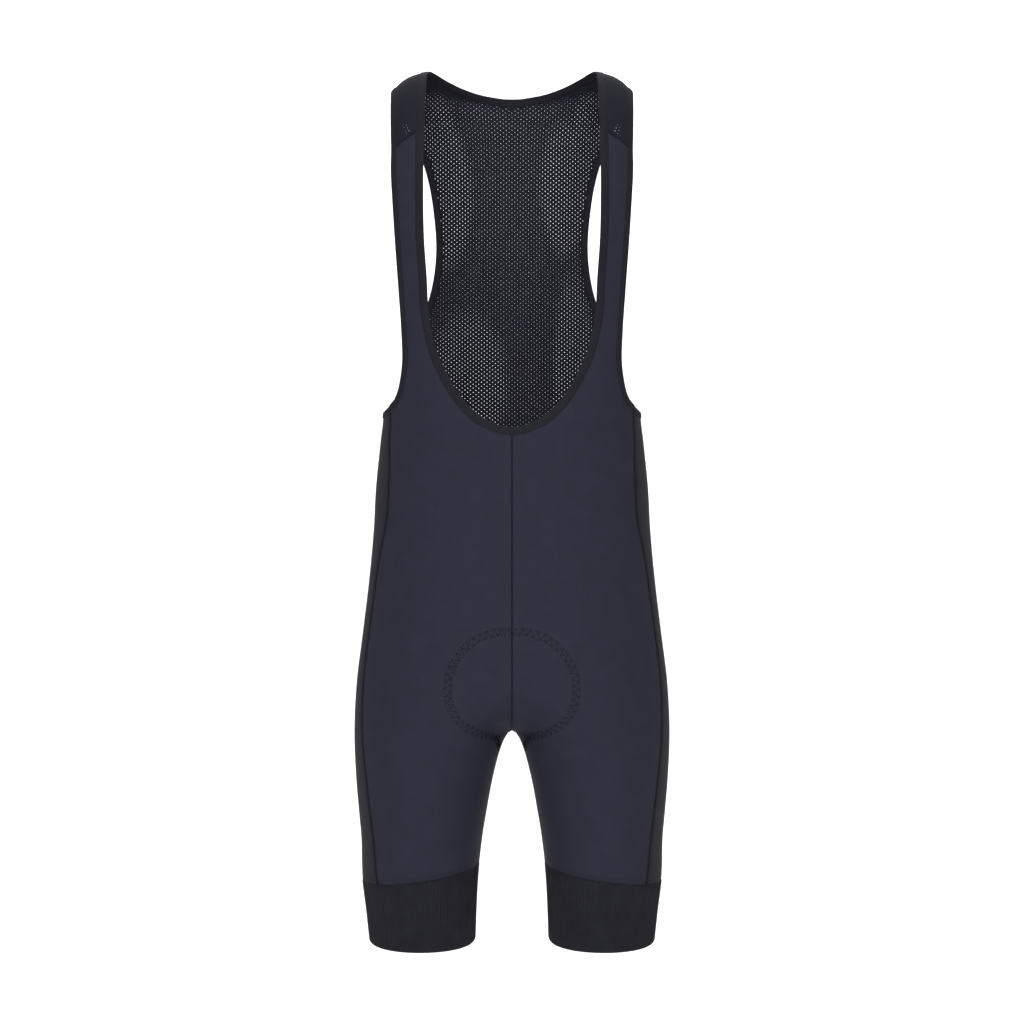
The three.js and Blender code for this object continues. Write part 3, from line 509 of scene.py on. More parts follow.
# Closed wall from grids of outer and inner points in millimetres, merged where their places meet
def wall_object(name, parts, material, crease=SEAM_CREASE, fold_painted_shades=None):
    index_of = {}
    outer_points, inner_points, cut_points, fold_shade_points = [], [], [], []
    faces = []
    for number, (places, outer, inner, cut) in enumerate(parts):
        keys = np.round(places, PLACE_DECIMALS) + 0.0
        rows, columns = places.shape[:2]
        ids = np.zeros((rows, columns), int)
        for row in range(rows):
            for column in range(columns):
                key = tuple(keys[row, column])
                if key not in index_of:
                    index_of[key] = len(outer_points)
                    outer_points.append(outer[row, column])
                    inner_points.append(inner[row, column])
                    cut_points.append(cut[row, column])
                    fold_shade_points.append(fold_painted_shades[number][row, column] if fold_painted_shades else 0.0)
                ids[row, column] = index_of[key]
        for row in range(rows - 1):
            for column in range(columns - 1):
                below = row + 1
                face = [ids[row, column], ids[below, column], ids[below, column + 1], ids[row, column + 1]]
                corners = [corner for spot, corner in enumerate(face) if corner != face[spot - 1]]
                if len(set(corners)) == len(corners) and len(corners) > 2:
                    faces.append(corners)
    edges = {}
    for face in faces:
        for spot, corner in enumerate(face):
            pair = (face[spot - 1], corner)
            if (pair[1], pair[0]) in edges:
                del edges[(pair[1], pair[0])]
            else:
                edges[pair] = True
    count = len(outer_points)
    walls = list(faces)
    walls += [[corner + count for corner in reversed(face)] for face in faces]
    walls += [[start, start + count, end + count, end] for start, end in edges]
    mesh = bpy.data.meshes.new(name)
    points = np.concatenate([np.array(outer_points), np.array(inner_points)]) * MM
    mesh.from_pydata(points.tolist(), [], [[int(corner) for corner in face] for face in walls])
    write_cut(mesh, cut_points * 2)
    # Painted shade in the seam folds: 1 at a panel's edge, 0 a little inside it
    point_attribute(mesh, "fold_painted_shade", fold_shade_points * 2)
    mesh.shade_smooth()
    mesh.set_sharp_from_angle(angle=math.radians(crease))
    mesh.materials.append(material)
    piece = placed_object(name, mesh)
    piece["cloth_area"] = float(sum(face.area for face in list(mesh.polygons)[:len(faces)]))
    return piece


def mirrored_object(piece, name):
    mesh = piece.data.copy()
    mesh.name = name
    for vertex in mesh.vertices:
        vertex.co.x = -vertex.co.x
    mesh.flip_normals()
    other = placed_object(name, mesh)
    other["cloth_area"] = piece["cloth_area"]
    return other


def panel_pair(name, material):
    places, directions, sink = seamed_grid(cloth_grids[name], normals[name])
    parts = [(places, places - directions * sink, places - directions * PANEL_WALL, cut_places(places))]
    # The edge's sink also sets the painted shade in the seam folds
    left = wall_object(name + "_left_cloth", parts, material, fold_painted_shades=[sink[..., 0] / EDGE_SINK])
    return left, mirrored_object(left, name + "_right_cloth")


def dress(piece, node):
    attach(piece, "root")
    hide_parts(node)


def dress_pair(pieces, node):
    for piece, side in zip(pieces, ("left", "right")):
        dress(piece, f"{node}_{side}")


def link_value(tree, value, socket):
    if isinstance(value, bpy.types.NodeSocket):
        tree.links.new(value, socket)
    else:
        socket.default_value = value


def math_node(tree, operation, first, second=0.0):
    node = tree.nodes.new("ShaderNodeMath")
    node.operation = operation
    link_value(tree, first, node.inputs[0])
    link_value(tree, second, node.inputs[1])
    return node.outputs[0]


def add_sockets(tree, inputs, outputs):
    for name, kind, value in inputs:
        socket = tree.interface.new_socket(name, in_out="INPUT", socket_type=kind)
        if value is not None:
            socket.default_value = value
    for name, kind in outputs:
        tree.interface.new_socket(name, in_out="OUTPUT", socket_type=kind)


PATCH_SCALE = 55.0
FIBRE_SCALE = 900.0
PATCH_STRENGTH = 0.9
LOOP_BASE = 0.35
LOOP_CONTRAST = 1.1
ROUGHNESS_SWING = 0.12
FACE_BUMP = 0.6
SHEEN_SPREAD = 0.5
SHINE = 0.06


# Patches of tone on the cloth, coarse or fine
def tone_noise(tree, place, scale, detail):
    noise = tree.nodes.new("ShaderNodeTexNoise")
    noise.inputs["Scale"].default_value = scale
    noise.inputs["Detail"].default_value = detail
    tree.links.new(place, noise.inputs["Vector"])
    return math_node(tree, "SUBTRACT", noise.outputs["Fac"], 0.5)


# Knit face: rows of small V-shaped loops, uneven in tone, with painted shade that darkens the folds at seams
def build_knit_group():
    group = bpy.data.node_groups.new("knit face", "ShaderNodeTree")
    add_sockets(
        group,
        [("Cut", "NodeSocketVector", None), ("Place", "NodeSocketVector", None),
         ("Loop width", "NodeSocketFloat", 0.5), ("Loop height", "NodeSocketFloat", 0.4),
         ("Deep colour", "NodeSocketColor", (0.02, 0.02, 0.03, 1)),
         ("Raised colour", "NodeSocketColor", (0.04, 0.04, 0.06, 1)),
         ("Uneven", "NodeSocketFloat", 0.3), ("Fold painted shade", "NodeSocketFloat", 0.0)],
        [("Color", "NodeSocketColor"), ("Height", "NodeSocketFloat"),
         ("Roughness shift", "NodeSocketFloat")])
    source = group.nodes.new("NodeGroupInput")
    result = group.nodes.new("NodeGroupOutput")
    split = group.nodes.new("ShaderNodeSeparateXYZ")
    group.links.new(source.outputs["Cut"], split.inputs[0])
    in_millimetres = 1 / MM
    across = math_node(group, "MULTIPLY", split.outputs[0], in_millimetres)
    down = math_node(group, "MULTIPLY", split.outputs[1], in_millimetres)
    loops_across = math_node(group, "DIVIDE", across, source.outputs["Loop width"])
    loops_down = math_node(group, "DIVIDE", down, source.outputs["Loop height"])
    wale = math_node(group, "PINGPONG", loops_across, 0.5)
    lean = math_node(group, "ADD", loops_down, wale)
    course = math_node(group, "PINGPONG", lean, 0.5)
    raised = math_node(group, "ADD", course, LOOP_BASE)
    height = math_node(group, "MULTIPLY", raised, math_node(group, "SQRT", wale))
    patch = tone_noise(group, source.outputs["Place"], PATCH_SCALE, detail=4.0)
    fleck = tone_noise(group, source.outputs["Place"], FIBRE_SCALE, detail=2.0)
    tone = math_node(group, "ADD", math_node(group, "MULTIPLY", patch, PATCH_STRENGTH), fleck)
    shift = math_node(group, "MULTIPLY", tone, source.outputs["Uneven"])
    blend = math_node(group, "ADD", math_node(group, "MULTIPLY", height, LOOP_CONTRAST), shift)
    mixer = group.nodes.new("ShaderNodeMix")
    mixer.data_type = "RGBA"
    mixer.clamp_factor = True
    group.links.new(blend, mixer.inputs["Factor"])
    group.links.new(source.outputs["Deep colour"], mixer.inputs["A"])
    group.links.new(source.outputs["Raised colour"], mixer.inputs["B"])
    # Painted shade: the colour is darkened in the folds at seams
    dark = math_node(group, "MULTIPLY", source.outputs["Fold painted shade"], FOLD_PAINTED_SHADE)
    shade = math_node(group, "SUBTRACT", 1.0, dark)
    shaded = group.nodes.new("ShaderNodeVectorMath")
    shaded.operation = "SCALE"
    group.links.new(mixer.outputs["Result"], shaded.inputs[0])
    group.links.new(shade, shaded.inputs["Scale"])
    group.links.new(shaded.outputs[0], result.inputs["Color"])
    group.links.new(height, result.inputs["Height"])
    rough = math_node(group, "MULTIPLY", tone, ROUGHNESS_SWING)
    group.links.new(rough, result.inputs["Roughness shift"])
    return group


knit_face = build_knit_group()


# Knitted cloth of one colour; the loop sizes and the depth of the face are in millimetres
def knit_material(name, deep, raised, loop=(0.55, 0.45), uneven=0.8, roughness=0.72, sheen=0.01, depth=0.12):
    material = bpy.data.materials.new(name)
    material.use_nodes = True
    tree = material.node_tree
    shader = tree.nodes["Principled BSDF"]
    cut = tree.nodes.new("ShaderNodeUVMap")
    cut.uv_map = "cut"
    place = tree.nodes.new("ShaderNodeTexCoord")
    face = tree.nodes.new("ShaderNodeGroup")
    face.node_tree = knit_face
    tree.links.new(cut.outputs["UV"], face.inputs["Cut"])
    tree.links.new(place.outputs["Object"], face.inputs["Place"])
    face.inputs["Loop width"].default_value = loop[0]
    face.inputs["Loop height"].default_value = loop[1]
    face.inputs["Deep colour"].default_value = (*deep, 1)
    face.inputs["Raised colour"].default_value = (*raised, 1)
    face.inputs["Uneven"].default_value = uneven
    # Painted shade in the seam folds, stored on the panels, darkens the colour
    fold_painted_shade = tree.nodes.new("ShaderNodeAttribute")
    fold_painted_shade.attribute_name = "fold_painted_shade"
    tree.links.new(fold_painted_shade.outputs["Fac"], face.inputs["Fold painted shade"])
    bump = tree.nodes.new("ShaderNodeBump")
    bump.inputs["Distance"].default_value = depth * MM
    bump.inputs["Strength"].default_value = FACE_BUMP
    tree.links.new(face.outputs["Height"], bump.inputs["Height"])
    tree.links.new(bump.outputs["Normal"], shader.inputs["Normal"])
    tree.links.new(face.outputs["Color"], shader.inputs["Base Color"])
    rough = math_node(tree, "ADD", face.outputs["Roughness shift"], roughness)
    tree.links.new(rough, shader.inputs["Roughness"])
    shader.inputs["Sheen Weight"].default_value = sheen
    shader.inputs["Sheen Roughness"].default_value = SHEEN_SPREAD
    shader.inputs["Specular IOR Level"].default_value = SHINE
    return material


front_cloth = knit_material("navy front knit", (0.0135, 0.0142, 0.0238), (0.0215, 0.0222, 0.0362))
dress_pair(panel_pair("front", front_cloth), "front")

# Side panels
# A narrow panel down each side, from the underarm to the leg band, of a slightly greyer matt knit.
# It is sewn flat to the front and back panels with a covered seam.

side_cloth = knit_material(
    "matt side knit", (0.0135, 0.0135, 0.0185), (0.0215, 0.0213, 0.0282), roughness=0.8)
dress_pair(panel_pair("side", side_cloth), "side")

# Back panels
# Two mirror-image panels of the same knit as the front, from the mesh seam at the waist over the
# seat and the back of the thigh to the leg bands, sewn down the centre back and the inner leg.

back_cloth = knit_material(
    "navy back knit", (0.0128, 0.0135, 0.0222), (0.0206, 0.0212, 0.034), roughness=0.74)
dress_pair(panel_pair("back", back_cloth), "back")

# Mesh back
# One piece of open mesh that makes the upper back, the shoulders and the tops of the straps. Its small
# holes are knitted in staggered rows; it is left close-knit where it is sewn to its neighbours.

NET_ACROSS = 6.3
NET_ROW = 2.4
NET_WALL = 0.7
NET_BORDER = 2.6
NET_LAP = 2.4
NET_SMALLEST_FACE = 0.4
HOLE_WIDEST = 0.205
HOLE_NARROWEST = 0.128
HOLE_FADE = 2.2
ON_CLOTH = 0.01
CORNER_STEPS = 10
NET_CREASE = 40
FLATTEN_COLUMNS = 14
FLATTEN_ROUNDS = 400
FLATTEN_PUSH = 0.12

# Corners of one cell of the net: its neighbours are half a cell aside and one row up or down
half_across = NET_ACROSS / 2
cell_bound = (half_across ** 2 + NET_ROW ** 2) / 2
CELL_TIP = round(cell_bound / half_across, 3)
CELL_SHOULDER = round((cell_bound - NET_ROW ** 2) / half_across, 3)
CELL_CORNERS = [
    (CELL_TIP, 0), (CELL_SHOULDER, NET_ROW), (-CELL_SHOULDER, NET_ROW),
    (-CELL_TIP, 0), (-CELL_SHOULDER, -NET_ROW), (CELL_SHOULDER, -NET_ROW),
]

# Places where the worn net is pulled open: x, height, half width and half height from the front
OPEN_AREAS = [
    (-72, -120, 30, 90), (62, -110, 34, 85), (70, -330, 26, 140), (-50, -330, 50, 90), (-90, -60, 30, 60),
    (90, -60, 30, 60),
]


# Triangles of a grid of points, numbered along its rows
def grid_triangles(rows, columns):
    index = np.arange(rows * columns).reshape(rows, columns)
    a, b, c, d = index[:-1, :-1], index[1:, :-1], index[1:, 1:], index[:-1, 1:]
    first = np.stack([a, b, c], axis=-1).reshape(-1, 3)
    second = np.stack([a, c, d], axis=-1).reshape(-1, 3)
    return np.concatenate([first, second])


# Flat places of a grid that keep every angle as near as can be, with some places given
def angle_true_layout(solid, triangles, pinned, pinned_places):
    a, b, c = (solid[triangles[:, corner]] for corner in range(3))
    side = np.linalg.norm(b - a, axis=1)
    along = ((c - a) * (b - a)).sum(axis=1) / side
    rise = np.sqrt(np.maximum(((c - a) ** 2).sum(axis=1) - along ** 2, TINY))
    weight = 1 / np.sqrt(side * rise)
    zero = np.zeros_like(side)
    real = np.stack([along - side, -along, side], axis=1) * weight[:, None]
    imaginary = np.stack([rise, -rise, zero], axis=1) * weight[:, None]
    count = len(solid)
    system = np.zeros((2 * len(triangles), 2 * count))
    rows = np.arange(len(triangles))
    for corner in range(3):
        system[rows, triangles[:, corner]] = real[:, corner]
        system[rows, triangles[:, corner] + count] = -imaginary[:, corner]
        system[rows + len(triangles), triangles[:, corner]] = imaginary[:, corner]
        system[rows + len(triangles), triangles[:, corner] + count] = real[:, corner]
    known = np.concatenate([pinned, pinned + count])
    free = np.setdiff1d(np.arange(2 * count), known)
    answer = np.zeros(2 * count)
    answer[known] = pinned_places.T.ravel()
    moving = system[:, free]
    answer[free] = np.linalg.solve(moving.T @ moving, -moving.T @ (system[:, known] @ answer[known]))
    return answer.reshape(2, count).T


# Lays the left half of the mesh flat: the centre back becomes a straight line at u = 0
def flatten_mesh(grid, first_centre_row):
    columns = np.unique(np.round(np.linspace(0, grid.shape[1] - 1, FLATTEN_COLUMNS)).astype(int))
    coarse = grid[:, columns][:, ::-1]
    index = np.arange(coarse.shape[0] * coarse.shape[1]).reshape(coarse.shape[:2])
    solid = coarse.reshape(-1, 3)
    pinned = index[first_centre_row:, 0]
    centre_steps = np.linalg.norm(np.diff(solid[pinned], axis=0), axis=1)
    centre_v = solid[pinned[0], 2] - np.concatenate([[0], np.cumsum(centre_steps)])
    centre_places = np.stack([np.zeros(len(pinned)), centre_v], axis=1)
    points = angle_true_layout(solid, grid_triangles(*coarse.shape[:2]), pinned, centre_places)
    ties = np.concatenate([
        np.stack([index[:, :-1].ravel(), index[:, 1:].ravel()], axis=1),
        np.stack([index[:-1].ravel(), index[1:].ravel()], axis=1),
        np.stack([index[:-1, :-1].ravel(), index[1:, 1:].ravel()], axis=1),
        np.stack([index[:-1, 1:].ravel(), index[1:, :-1].ravel()], axis=1),
    ])
    lengths = np.linalg.norm(solid[ties[:, 0]] - solid[ties[:, 1]], axis=1)
    for settling in range(FLATTEN_ROUNDS):
        way = points[ties[:, 1]] - points[ties[:, 0]]
        now = np.maximum(np.linalg.norm(way, axis=1), TINY)
        push = way * ((now - lengths) / now * FLATTEN_PUSH)[:, None]
        for axis in (0, 1):
            points[:, axis] += np.bincount(ties[:, 0], push[:, axis], len(points))
            points[:, axis] -= np.bincount(ties[:, 1], push[:, axis], len(points))
        points[pinned, 0] = 0
    flat = points.reshape(coarse.shape[:2] + (2,))[:, ::-1]
    over = np.arange(grid.shape[1])
    by_axis = [[np.interp(over, columns, row[:, axis]) for row in flat] for axis in (0, 1)]
    return np.stack(by_axis, axis=-1)


mesh_grid = cloth_grids["mesh"]
mesh_flat = flatten_mesh(mesh_grid, neck_back - strap_seam)
flat_places = mesh_flat.reshape(-1, 2)
flat_points = np.hstack([flat_places, np.zeros((len(flat_places), 1))])
flat_triangles = grid_triangles(*mesh_flat.shape[:2])
flat_finder = BVHTree.FromPolygons(flat_points.tolist(), flat_triangles.tolist())
solid_points = [Vector(point) for point in mesh_grid.reshape(-1, 3)]
flat_vectors = [Vector(point) for point in flat_points]

neck_side = mesh_flat[:neck_back - strap_seam + 1, -1]
flat_edge = np.concatenate([mesh_flat[:, 0], mesh_flat[-1], mesh_flat[0], neck_side])


def distance_to_edge(u, v):
    return float(np.min(np.hypot(flat_edge[:, 0] - abs(u), flat_edge[:, 1] - v)))


# Place on the worn mesh of a point of the flat one, and how far that point lies off the cloth
def worn_place(u, v):
    found, flat_normal, face, gap = flat_finder.find_nearest(Vector((abs(u), v, 0)))
    corners = flat_triangles[face]
    flat_corner = [flat_vectors[corner] for corner in corners]
    place = barycentric_transform(found, *flat_corner, *[solid_points[corner] for corner in corners])
    if u < 0:
        place.x = -place.x
    return place, gap


# Width of a net hole as a share of its cell, larger where the cloth is pulled open
def hole_share(place):
    openness = 0.0
    for x, z, half_width, half_height in OPEN_AREAS:
        reach = ((place.x - x) / half_width) ** 2 + ((place.z - z) / half_height) ** 2
        openness = max(openness, 1 - reach)
    held = min(openness * HOLE_FADE, 1.0)
    return HOLE_NARROWEST + (HOLE_WIDEST - HOLE_NARROWEST) * held


# Cells of the net on one side; those at the edge have their outer corners drawn in to it
def net_cells(side):
    low = flat_places.min(axis=0)
    high = flat_places.max(axis=0)
    points, faces, holes, cuts = [], [], [], []
    index_of = {}
    for row in range(int(low[1] / NET_ROW) - 1, int(high[1] / NET_ROW) + 2):
        for step in range(-1, int(high[0] / half_across) + 2):
            if (step + row) % 2:
                continue
            if step < 0 or (step == 0 and side < 0):
                continue
            u, v = side * step * half_across, row * NET_ROW
            place, gap = worn_place(u, v)
            if gap > NET_LAP:
                continue
            corners = []
            for aside, up in CELL_CORNERS:
                key = (round((u + aside) * CORNER_STEPS), round((v + up) * CORNER_STEPS))
                if key not in index_of:
                    index_of[key] = len(points)
                    points.append(worn_place(u + aside, v + up)[0])
                    cuts.append(((u + aside) * MM, (v + up) * MM))
                corners.append(index_of[key])
            spokes = [points[corner] - place for corner in corners]
            area = sum(spoke.cross(spokes[n - 1]).length for n, spoke in enumerate(spokes)) / 2
            if area < NET_SMALLEST_FACE:
                continue
            faces.append(corners[::-1])
            is_open = gap < ON_CLOTH and distance_to_edge(u, v) > NET_BORDER
            holes.append(hole_share(place) if is_open else 0.0)
    return points, faces, holes, cuts


def add_node(tree, kind, **settings):
    node = tree.nodes.new(kind)
    for name, value in settings.items():
        setattr(node, name, value)
    return node


def attribute_of(tree, name, kind="FLOAT"):
    node = add_node(tree, "GeometryNodeInputNamedAttribute", data_type=kind)
    node.inputs["Name"].default_value = name
    return node.outputs["Attribute"]


# Moves every point along its own direction by an amount
def shift_along(tree, geometry, direction, amount):
    move = add_node(tree, "ShaderNodeVectorMath", operation="SCALE")
    tree.links.new(direction, move.inputs[0])
    tree.links.new(amount, move.inputs["Scale"])
    shift = tree.nodes.new("GeometryNodeSetPosition")
    tree.links.new(geometry, shift.inputs["Geometry"])
    tree.links.new(move.outputs[0], shift.inputs["Offset"])
    return shift.outputs[0]


def new_node_tree(name, inputs):
    tree = bpy.data.node_groups.new(name, "GeometryNodeTree")
    tree.interface.new_socket("Geometry", in_out="INPUT", socket_type="NodeSocketGeometry")
    for title, kind in inputs:
        tree.interface.new_socket(title, in_out="INPUT", socket_type=kind)
    tree.interface.new_socket("Geometry", in_out="OUTPUT", socket_type="NodeSocketGeometry")
    return tree, tree.nodes.new("NodeGroupInput"), tree.nodes.new("NodeGroupOutput")


# Ends a tree: real geometry in place of instances, and the material put on
def finish_tree(tree, geometry, material, result):
    realize = tree.nodes.new("GeometryNodeRealizeInstances")
    dressed = tree.nodes.new("GeometryNodeSetMaterial")
    tree.links.new(geometry, realize.inputs[0])
    tree.links.new(realize.outputs[0], dressed.inputs["Geometry"])
    tree.links.new(material, dressed.inputs["Material"])
    tree.links.new(dressed.outputs[0], result.inputs[0])


def half_surface(mesh):
    return float(sum(face.area for face in mesh.polygons) / 2)


# Runs a tree on an object, thickened into a wall where one is given, and leaves a plain mesh
def run_tree(piece, tree, values, solid_wall=None):
    modifier = piece.modifiers.new("shape", "NODES")
    modifier.node_group = tree
    for item in tree.interface.items_tree:
        if item.in_out == "INPUT" and item.name in values:
            modifier[item.identifier] = values[item.name]
    if solid_wall:
        wall = piece.modifiers.new("wall", "SOLIDIFY")
        wall.thickness = solid_wall
        wall.offset = -1
    shaped = piece.evaluated_get(bpy.context.evaluated_depsgraph_get())
    mesh = bpy.data.meshes.new_from_object(shaped)
    piece.modifiers.clear()
    piece.data = mesh
    mesh.name = piece.name
    return piece


# Net holes: each cell's face is drawn in to its hole's outline, and the middle is taken out
def build_net_tree():
    tree, source, result = new_node_tree("net holes", [("Material", "NodeSocketMaterial")])
    hole = attribute_of(tree, "hole")
    is_hole = add_node(tree, "FunctionNodeCompare", data_type="FLOAT", operation="GREATER_THAN")
    tree.links.new(hole, is_hole.inputs[0])
    draw = add_node(tree, "GeometryNodeExtrudeMesh", mode="FACES")
    draw.inputs["Offset Scale"].default_value = 0
    draw.inputs["Individual"].default_value = True
    tree.links.new(source.outputs["Geometry"], draw.inputs["Mesh"])
    tree.links.new(is_hole.outputs[0], draw.inputs["Selection"])
    shrink = add_node(tree, "GeometryNodeScaleElements", domain="FACE")
    tree.links.new(draw.outputs["Mesh"], shrink.inputs["Geometry"])
    tree.links.new(draw.outputs["Top"], shrink.inputs["Selection"])
    tree.links.new(hole, shrink.inputs["Scale"])
    remove = add_node(tree, "GeometryNodeDeleteGeometry", domain="FACE")
    tree.links.new(shrink.outputs[0], remove.inputs["Geometry"])
    tree.links.new(draw.outputs["Top"], remove.inputs["Selection"])
    finish_tree(tree, remove.outputs[0], source.outputs["Material"], result)
    return tree


net_tree = build_net_tree()
mesh_cloth = knit_material(
    "open mesh knit", (0.0079, 0.0079, 0.013), (0.0142, 0.0142, 0.0228), loop=(0.6, 0.5), roughness=0.8)


def net_object(name, side):
    points, faces, holes, cuts = net_cells(side)
    mesh = bpy.data.meshes.new(name)
    mesh.from_pydata([point * MM for point in points], [], faces)
    mesh.attributes.new("hole", "FLOAT", "FACE").data.foreach_set("value", holes)
    write_cut(mesh, cuts)
    piece = placed_object(name, mesh)
    run_tree(piece, net_tree, {"Material": mesh_cloth}, NET_WALL * MM)
    piece.data.shade_smooth()
    piece.data.set_sharp_from_angle(angle=math.radians(NET_CREASE))
    piece["cloth_area"] = half_surface(piece.data)
    return piece


for net_name, net_side in (("mesh_cloth_left", 1), ("mesh_cloth_right", -1)):
    net = net_object(net_name, net_side)
    dress(net, "back_mesh")

# Neck binding
# One closed loop of folded elastic tape that wraps the edge of the front scoop, both straps and the
# back neck. Two rows of stitches hold it.

NECK_BINDING_WIDTH = 8.5
BINDING_LAP = 0.6

# Section of a folded tape: share of the width beyond the seam, plus a lap over the panel, and height
TAPE_SECTION = [
    (0.0, -1, -0.6), (0.0, -0.8, 0.0), (0.0, -0.2, 0.45), (0.05, 0, 0.62),
    (0.2, 0, 0.74), (0.5, 0, 0.8), (0.8, 0, 0.72), (0.94, 0, 0.42),
    (1.0, 0, -0.5), (0.94, 0, -1.3), (0.7, 0, -1.62), (0.3, 0, -1.66), (0.0, 0, -1.6), (0.0, -1, -1.35),
]


# A line on the left half that starts and ends on the centre line, run on into its mirror image
def closed_by_mirror(left):
    return np.concatenate([left, left[-2:0:-1] * MIRROR])


def path_frame(path, directions):
    along = np.roll(path, -1, axis=0) - np.roll(path, 1, axis=0)
    away = np.cross(directions, along)
    return away / np.maximum(np.linalg.norm(away, axis=1, keepdims=True), TINY)


# Closed ring of tape round an edge; the side says which way lies beyond the cloth
def tape_object(name, path, directions, width, side, material):
    away = path_frame(path, directions) * side
    ring = []
    for share, lap, height in TAPE_SECTION:
        ring.append(path + away * (share * width + lap * BINDING_LAP) + directions * height)
    ring = np.array(ring)
    if side < 0:
        ring = ring[::-1]
    count, steps = ring.shape[1], ring.shape[0]
    points = ring.transpose(1, 0, 2).reshape(-1, 3) * MM
    faces = []
    for row in range(count):
        for column in range(steps):
            a = row * steps + column
            b = (row + 1) % count * steps + column
            c = (row + 1) % count * steps + (column + 1) % steps
            d = row * steps + (column + 1) % steps
            faces.append([a, b, c, d])
    mesh = bpy.data.meshes.new(name)
    mesh.from_pydata(points.tolist(), [], faces)
    lengths = np.concatenate([[0], np.cumsum(np.linalg.norm(np.diff(path, axis=0), axis=1))])
    section = ring.mean(axis=1)
    around = np.concatenate([[0], np.cumsum(np.linalg.norm(np.diff(section, axis=0), axis=1))])
    write_cut(mesh, np.stack([np.tile(around, count), np.repeat(lengths, steps)], axis=1) * MM)
    mesh.shade_smooth()
    mesh.materials.append(material)
    piece = placed_object(name, mesh)
    piece["cloth_area"] = half_surface(mesh)
    piece["tape_length"] = float(lengths[-1] * MM)
    return piece


binding_cloth = knit_material(
    "folded elastic", (0.0092, 0.0092, 0.0132), (0.0155, 0.0155, 0.021),
    loop=(0.9, 0.7), roughness=0.78, depth=0.18)
front_stretch = normals["front"][:strap_seam + 1][::-1]
back_stretch = normals["mesh"][1:, ::-1][:len(ribbon) - strap_seam - 1]
ribbon_normals = np.concatenate([front_stretch, back_stretch])
neck_edge = closed_by_mirror(ribbon[:neck_back + 1, 0])
neck_normals = closed_by_mirror(ribbon_normals[:neck_back + 1, 0])
neck_binding = tape_object("neck_tape", neck_edge, neck_normals, NECK_BINDING_WIDTH, 1, binding_cloth)


dress(neck_binding, "neck_binding")

# Armhole bindings
# The same tape, a little narrower, in one closed loop round each armhole and under the arm.

ARMHOLE_BINDING_WIDTH = 6.5
armhole_edge = np.concatenate([ribbon[:, -1], lower_rungs["side"][0][::-1][1:-1]])
armhole_normals = np.concatenate([ribbon_normals[:, -1], normals["side"][0][::-1][1:-1]])
armhole_left = tape_object(
    "armhole_tape_left", armhole_edge, armhole_normals, ARMHOLE_BINDING_WIDTH, -1, binding_cloth)
armhole_right = mirrored_object(armhole_left, "armhole_tape_right")
dress_pair((armhole_left, armhole_right), "armhole_binding")

# Leg bands
# A ribbed elastic band at the end of each leg, in one ring with its ribs upright and its hem turned in.

HEM_Z = -938.0
BAND_WALL = 1.5
BAND_RIBS = 112
BAND_RIB_HEIGHT = 0.75
BAND_RIB_POWER = 0.6
BAND_COLUMNS = BAND_RIBS * 6
BAND_ROUND = 0.39
SHARE_STEP = 0.003

# Rows of the band's outside from its seam down to its hem
BAND_LEVELS = [0, 0.012, 0.03, 0.15, 0.3, 0.45, 0.6, 0.75, 0.9, 0.965, 0.99, 1]
BAND_EDGE_SINK = [0.7, 0.2, 0, 0, 0, 0, 0, 0, 0, 0, 0.25, 0.75]
BAND_RELIEF = [0, 0, 1, 1, 1, 1, 1, 1, 1, 1, 0.4, 0]
BAND_INSIDE_ROWS = (-1, -3, 2, 0)


def point_directions(mesh, name, vectors):
    mesh.attributes.new(name, "FLOAT_VECTOR", "POINT").data.foreach_set("vector", np.array(vectors).ravel())


def form_directions(share, z):
    down = form_points(share, z - 1) - form_points(share, z + 1)
    around = form_points((share + SHARE_STEP) % 1, z) - form_points((share - SHARE_STEP) % 1, z)
    outward = np.cross(down, around)
    return outward / np.linalg.norm(outward, axis=-1, keepdims=True)


# Ribs: points on the band's face move out, in a rounded wave that follows the way round
def build_rib_tree():
    inputs = [("Ribs", "NodeSocketFloat"), ("Rib height", "NodeSocketFloat"),
              ("Material", "NodeSocketMaterial")]
    tree, source, result = new_node_tree("upright ribs", inputs)
    turns = math_node(tree, "MULTIPLY", attribute_of(tree, "around"), source.outputs["Ribs"])
    wave = math_node(tree, "MULTIPLY", math_node(tree, "PINGPONG", turns, 0.5), 2.0)
    rounded = math_node(tree, "POWER", wave, BAND_RIB_POWER)
    full = math_node(tree, "MULTIPLY", rounded, source.outputs["Rib height"])
    height = math_node(tree, "MULTIPLY", full, attribute_of(tree, "relief"))
    outward = attribute_of(tree, "outward", "FLOAT_VECTOR")
    ribbed = shift_along(tree, source.outputs["Geometry"], outward, height)
    finish_tree(tree, ribbed, source.outputs["Material"], result)
    return tree


rib_tree = build_rib_tree()
band_cloth = knit_material(
    "ribbed elastic", (0.0078, 0.0077, 0.0112), (0.0178, 0.0177, 0.0248),
    loop=(0.55, 0.9), roughness=0.8, depth=0.2)


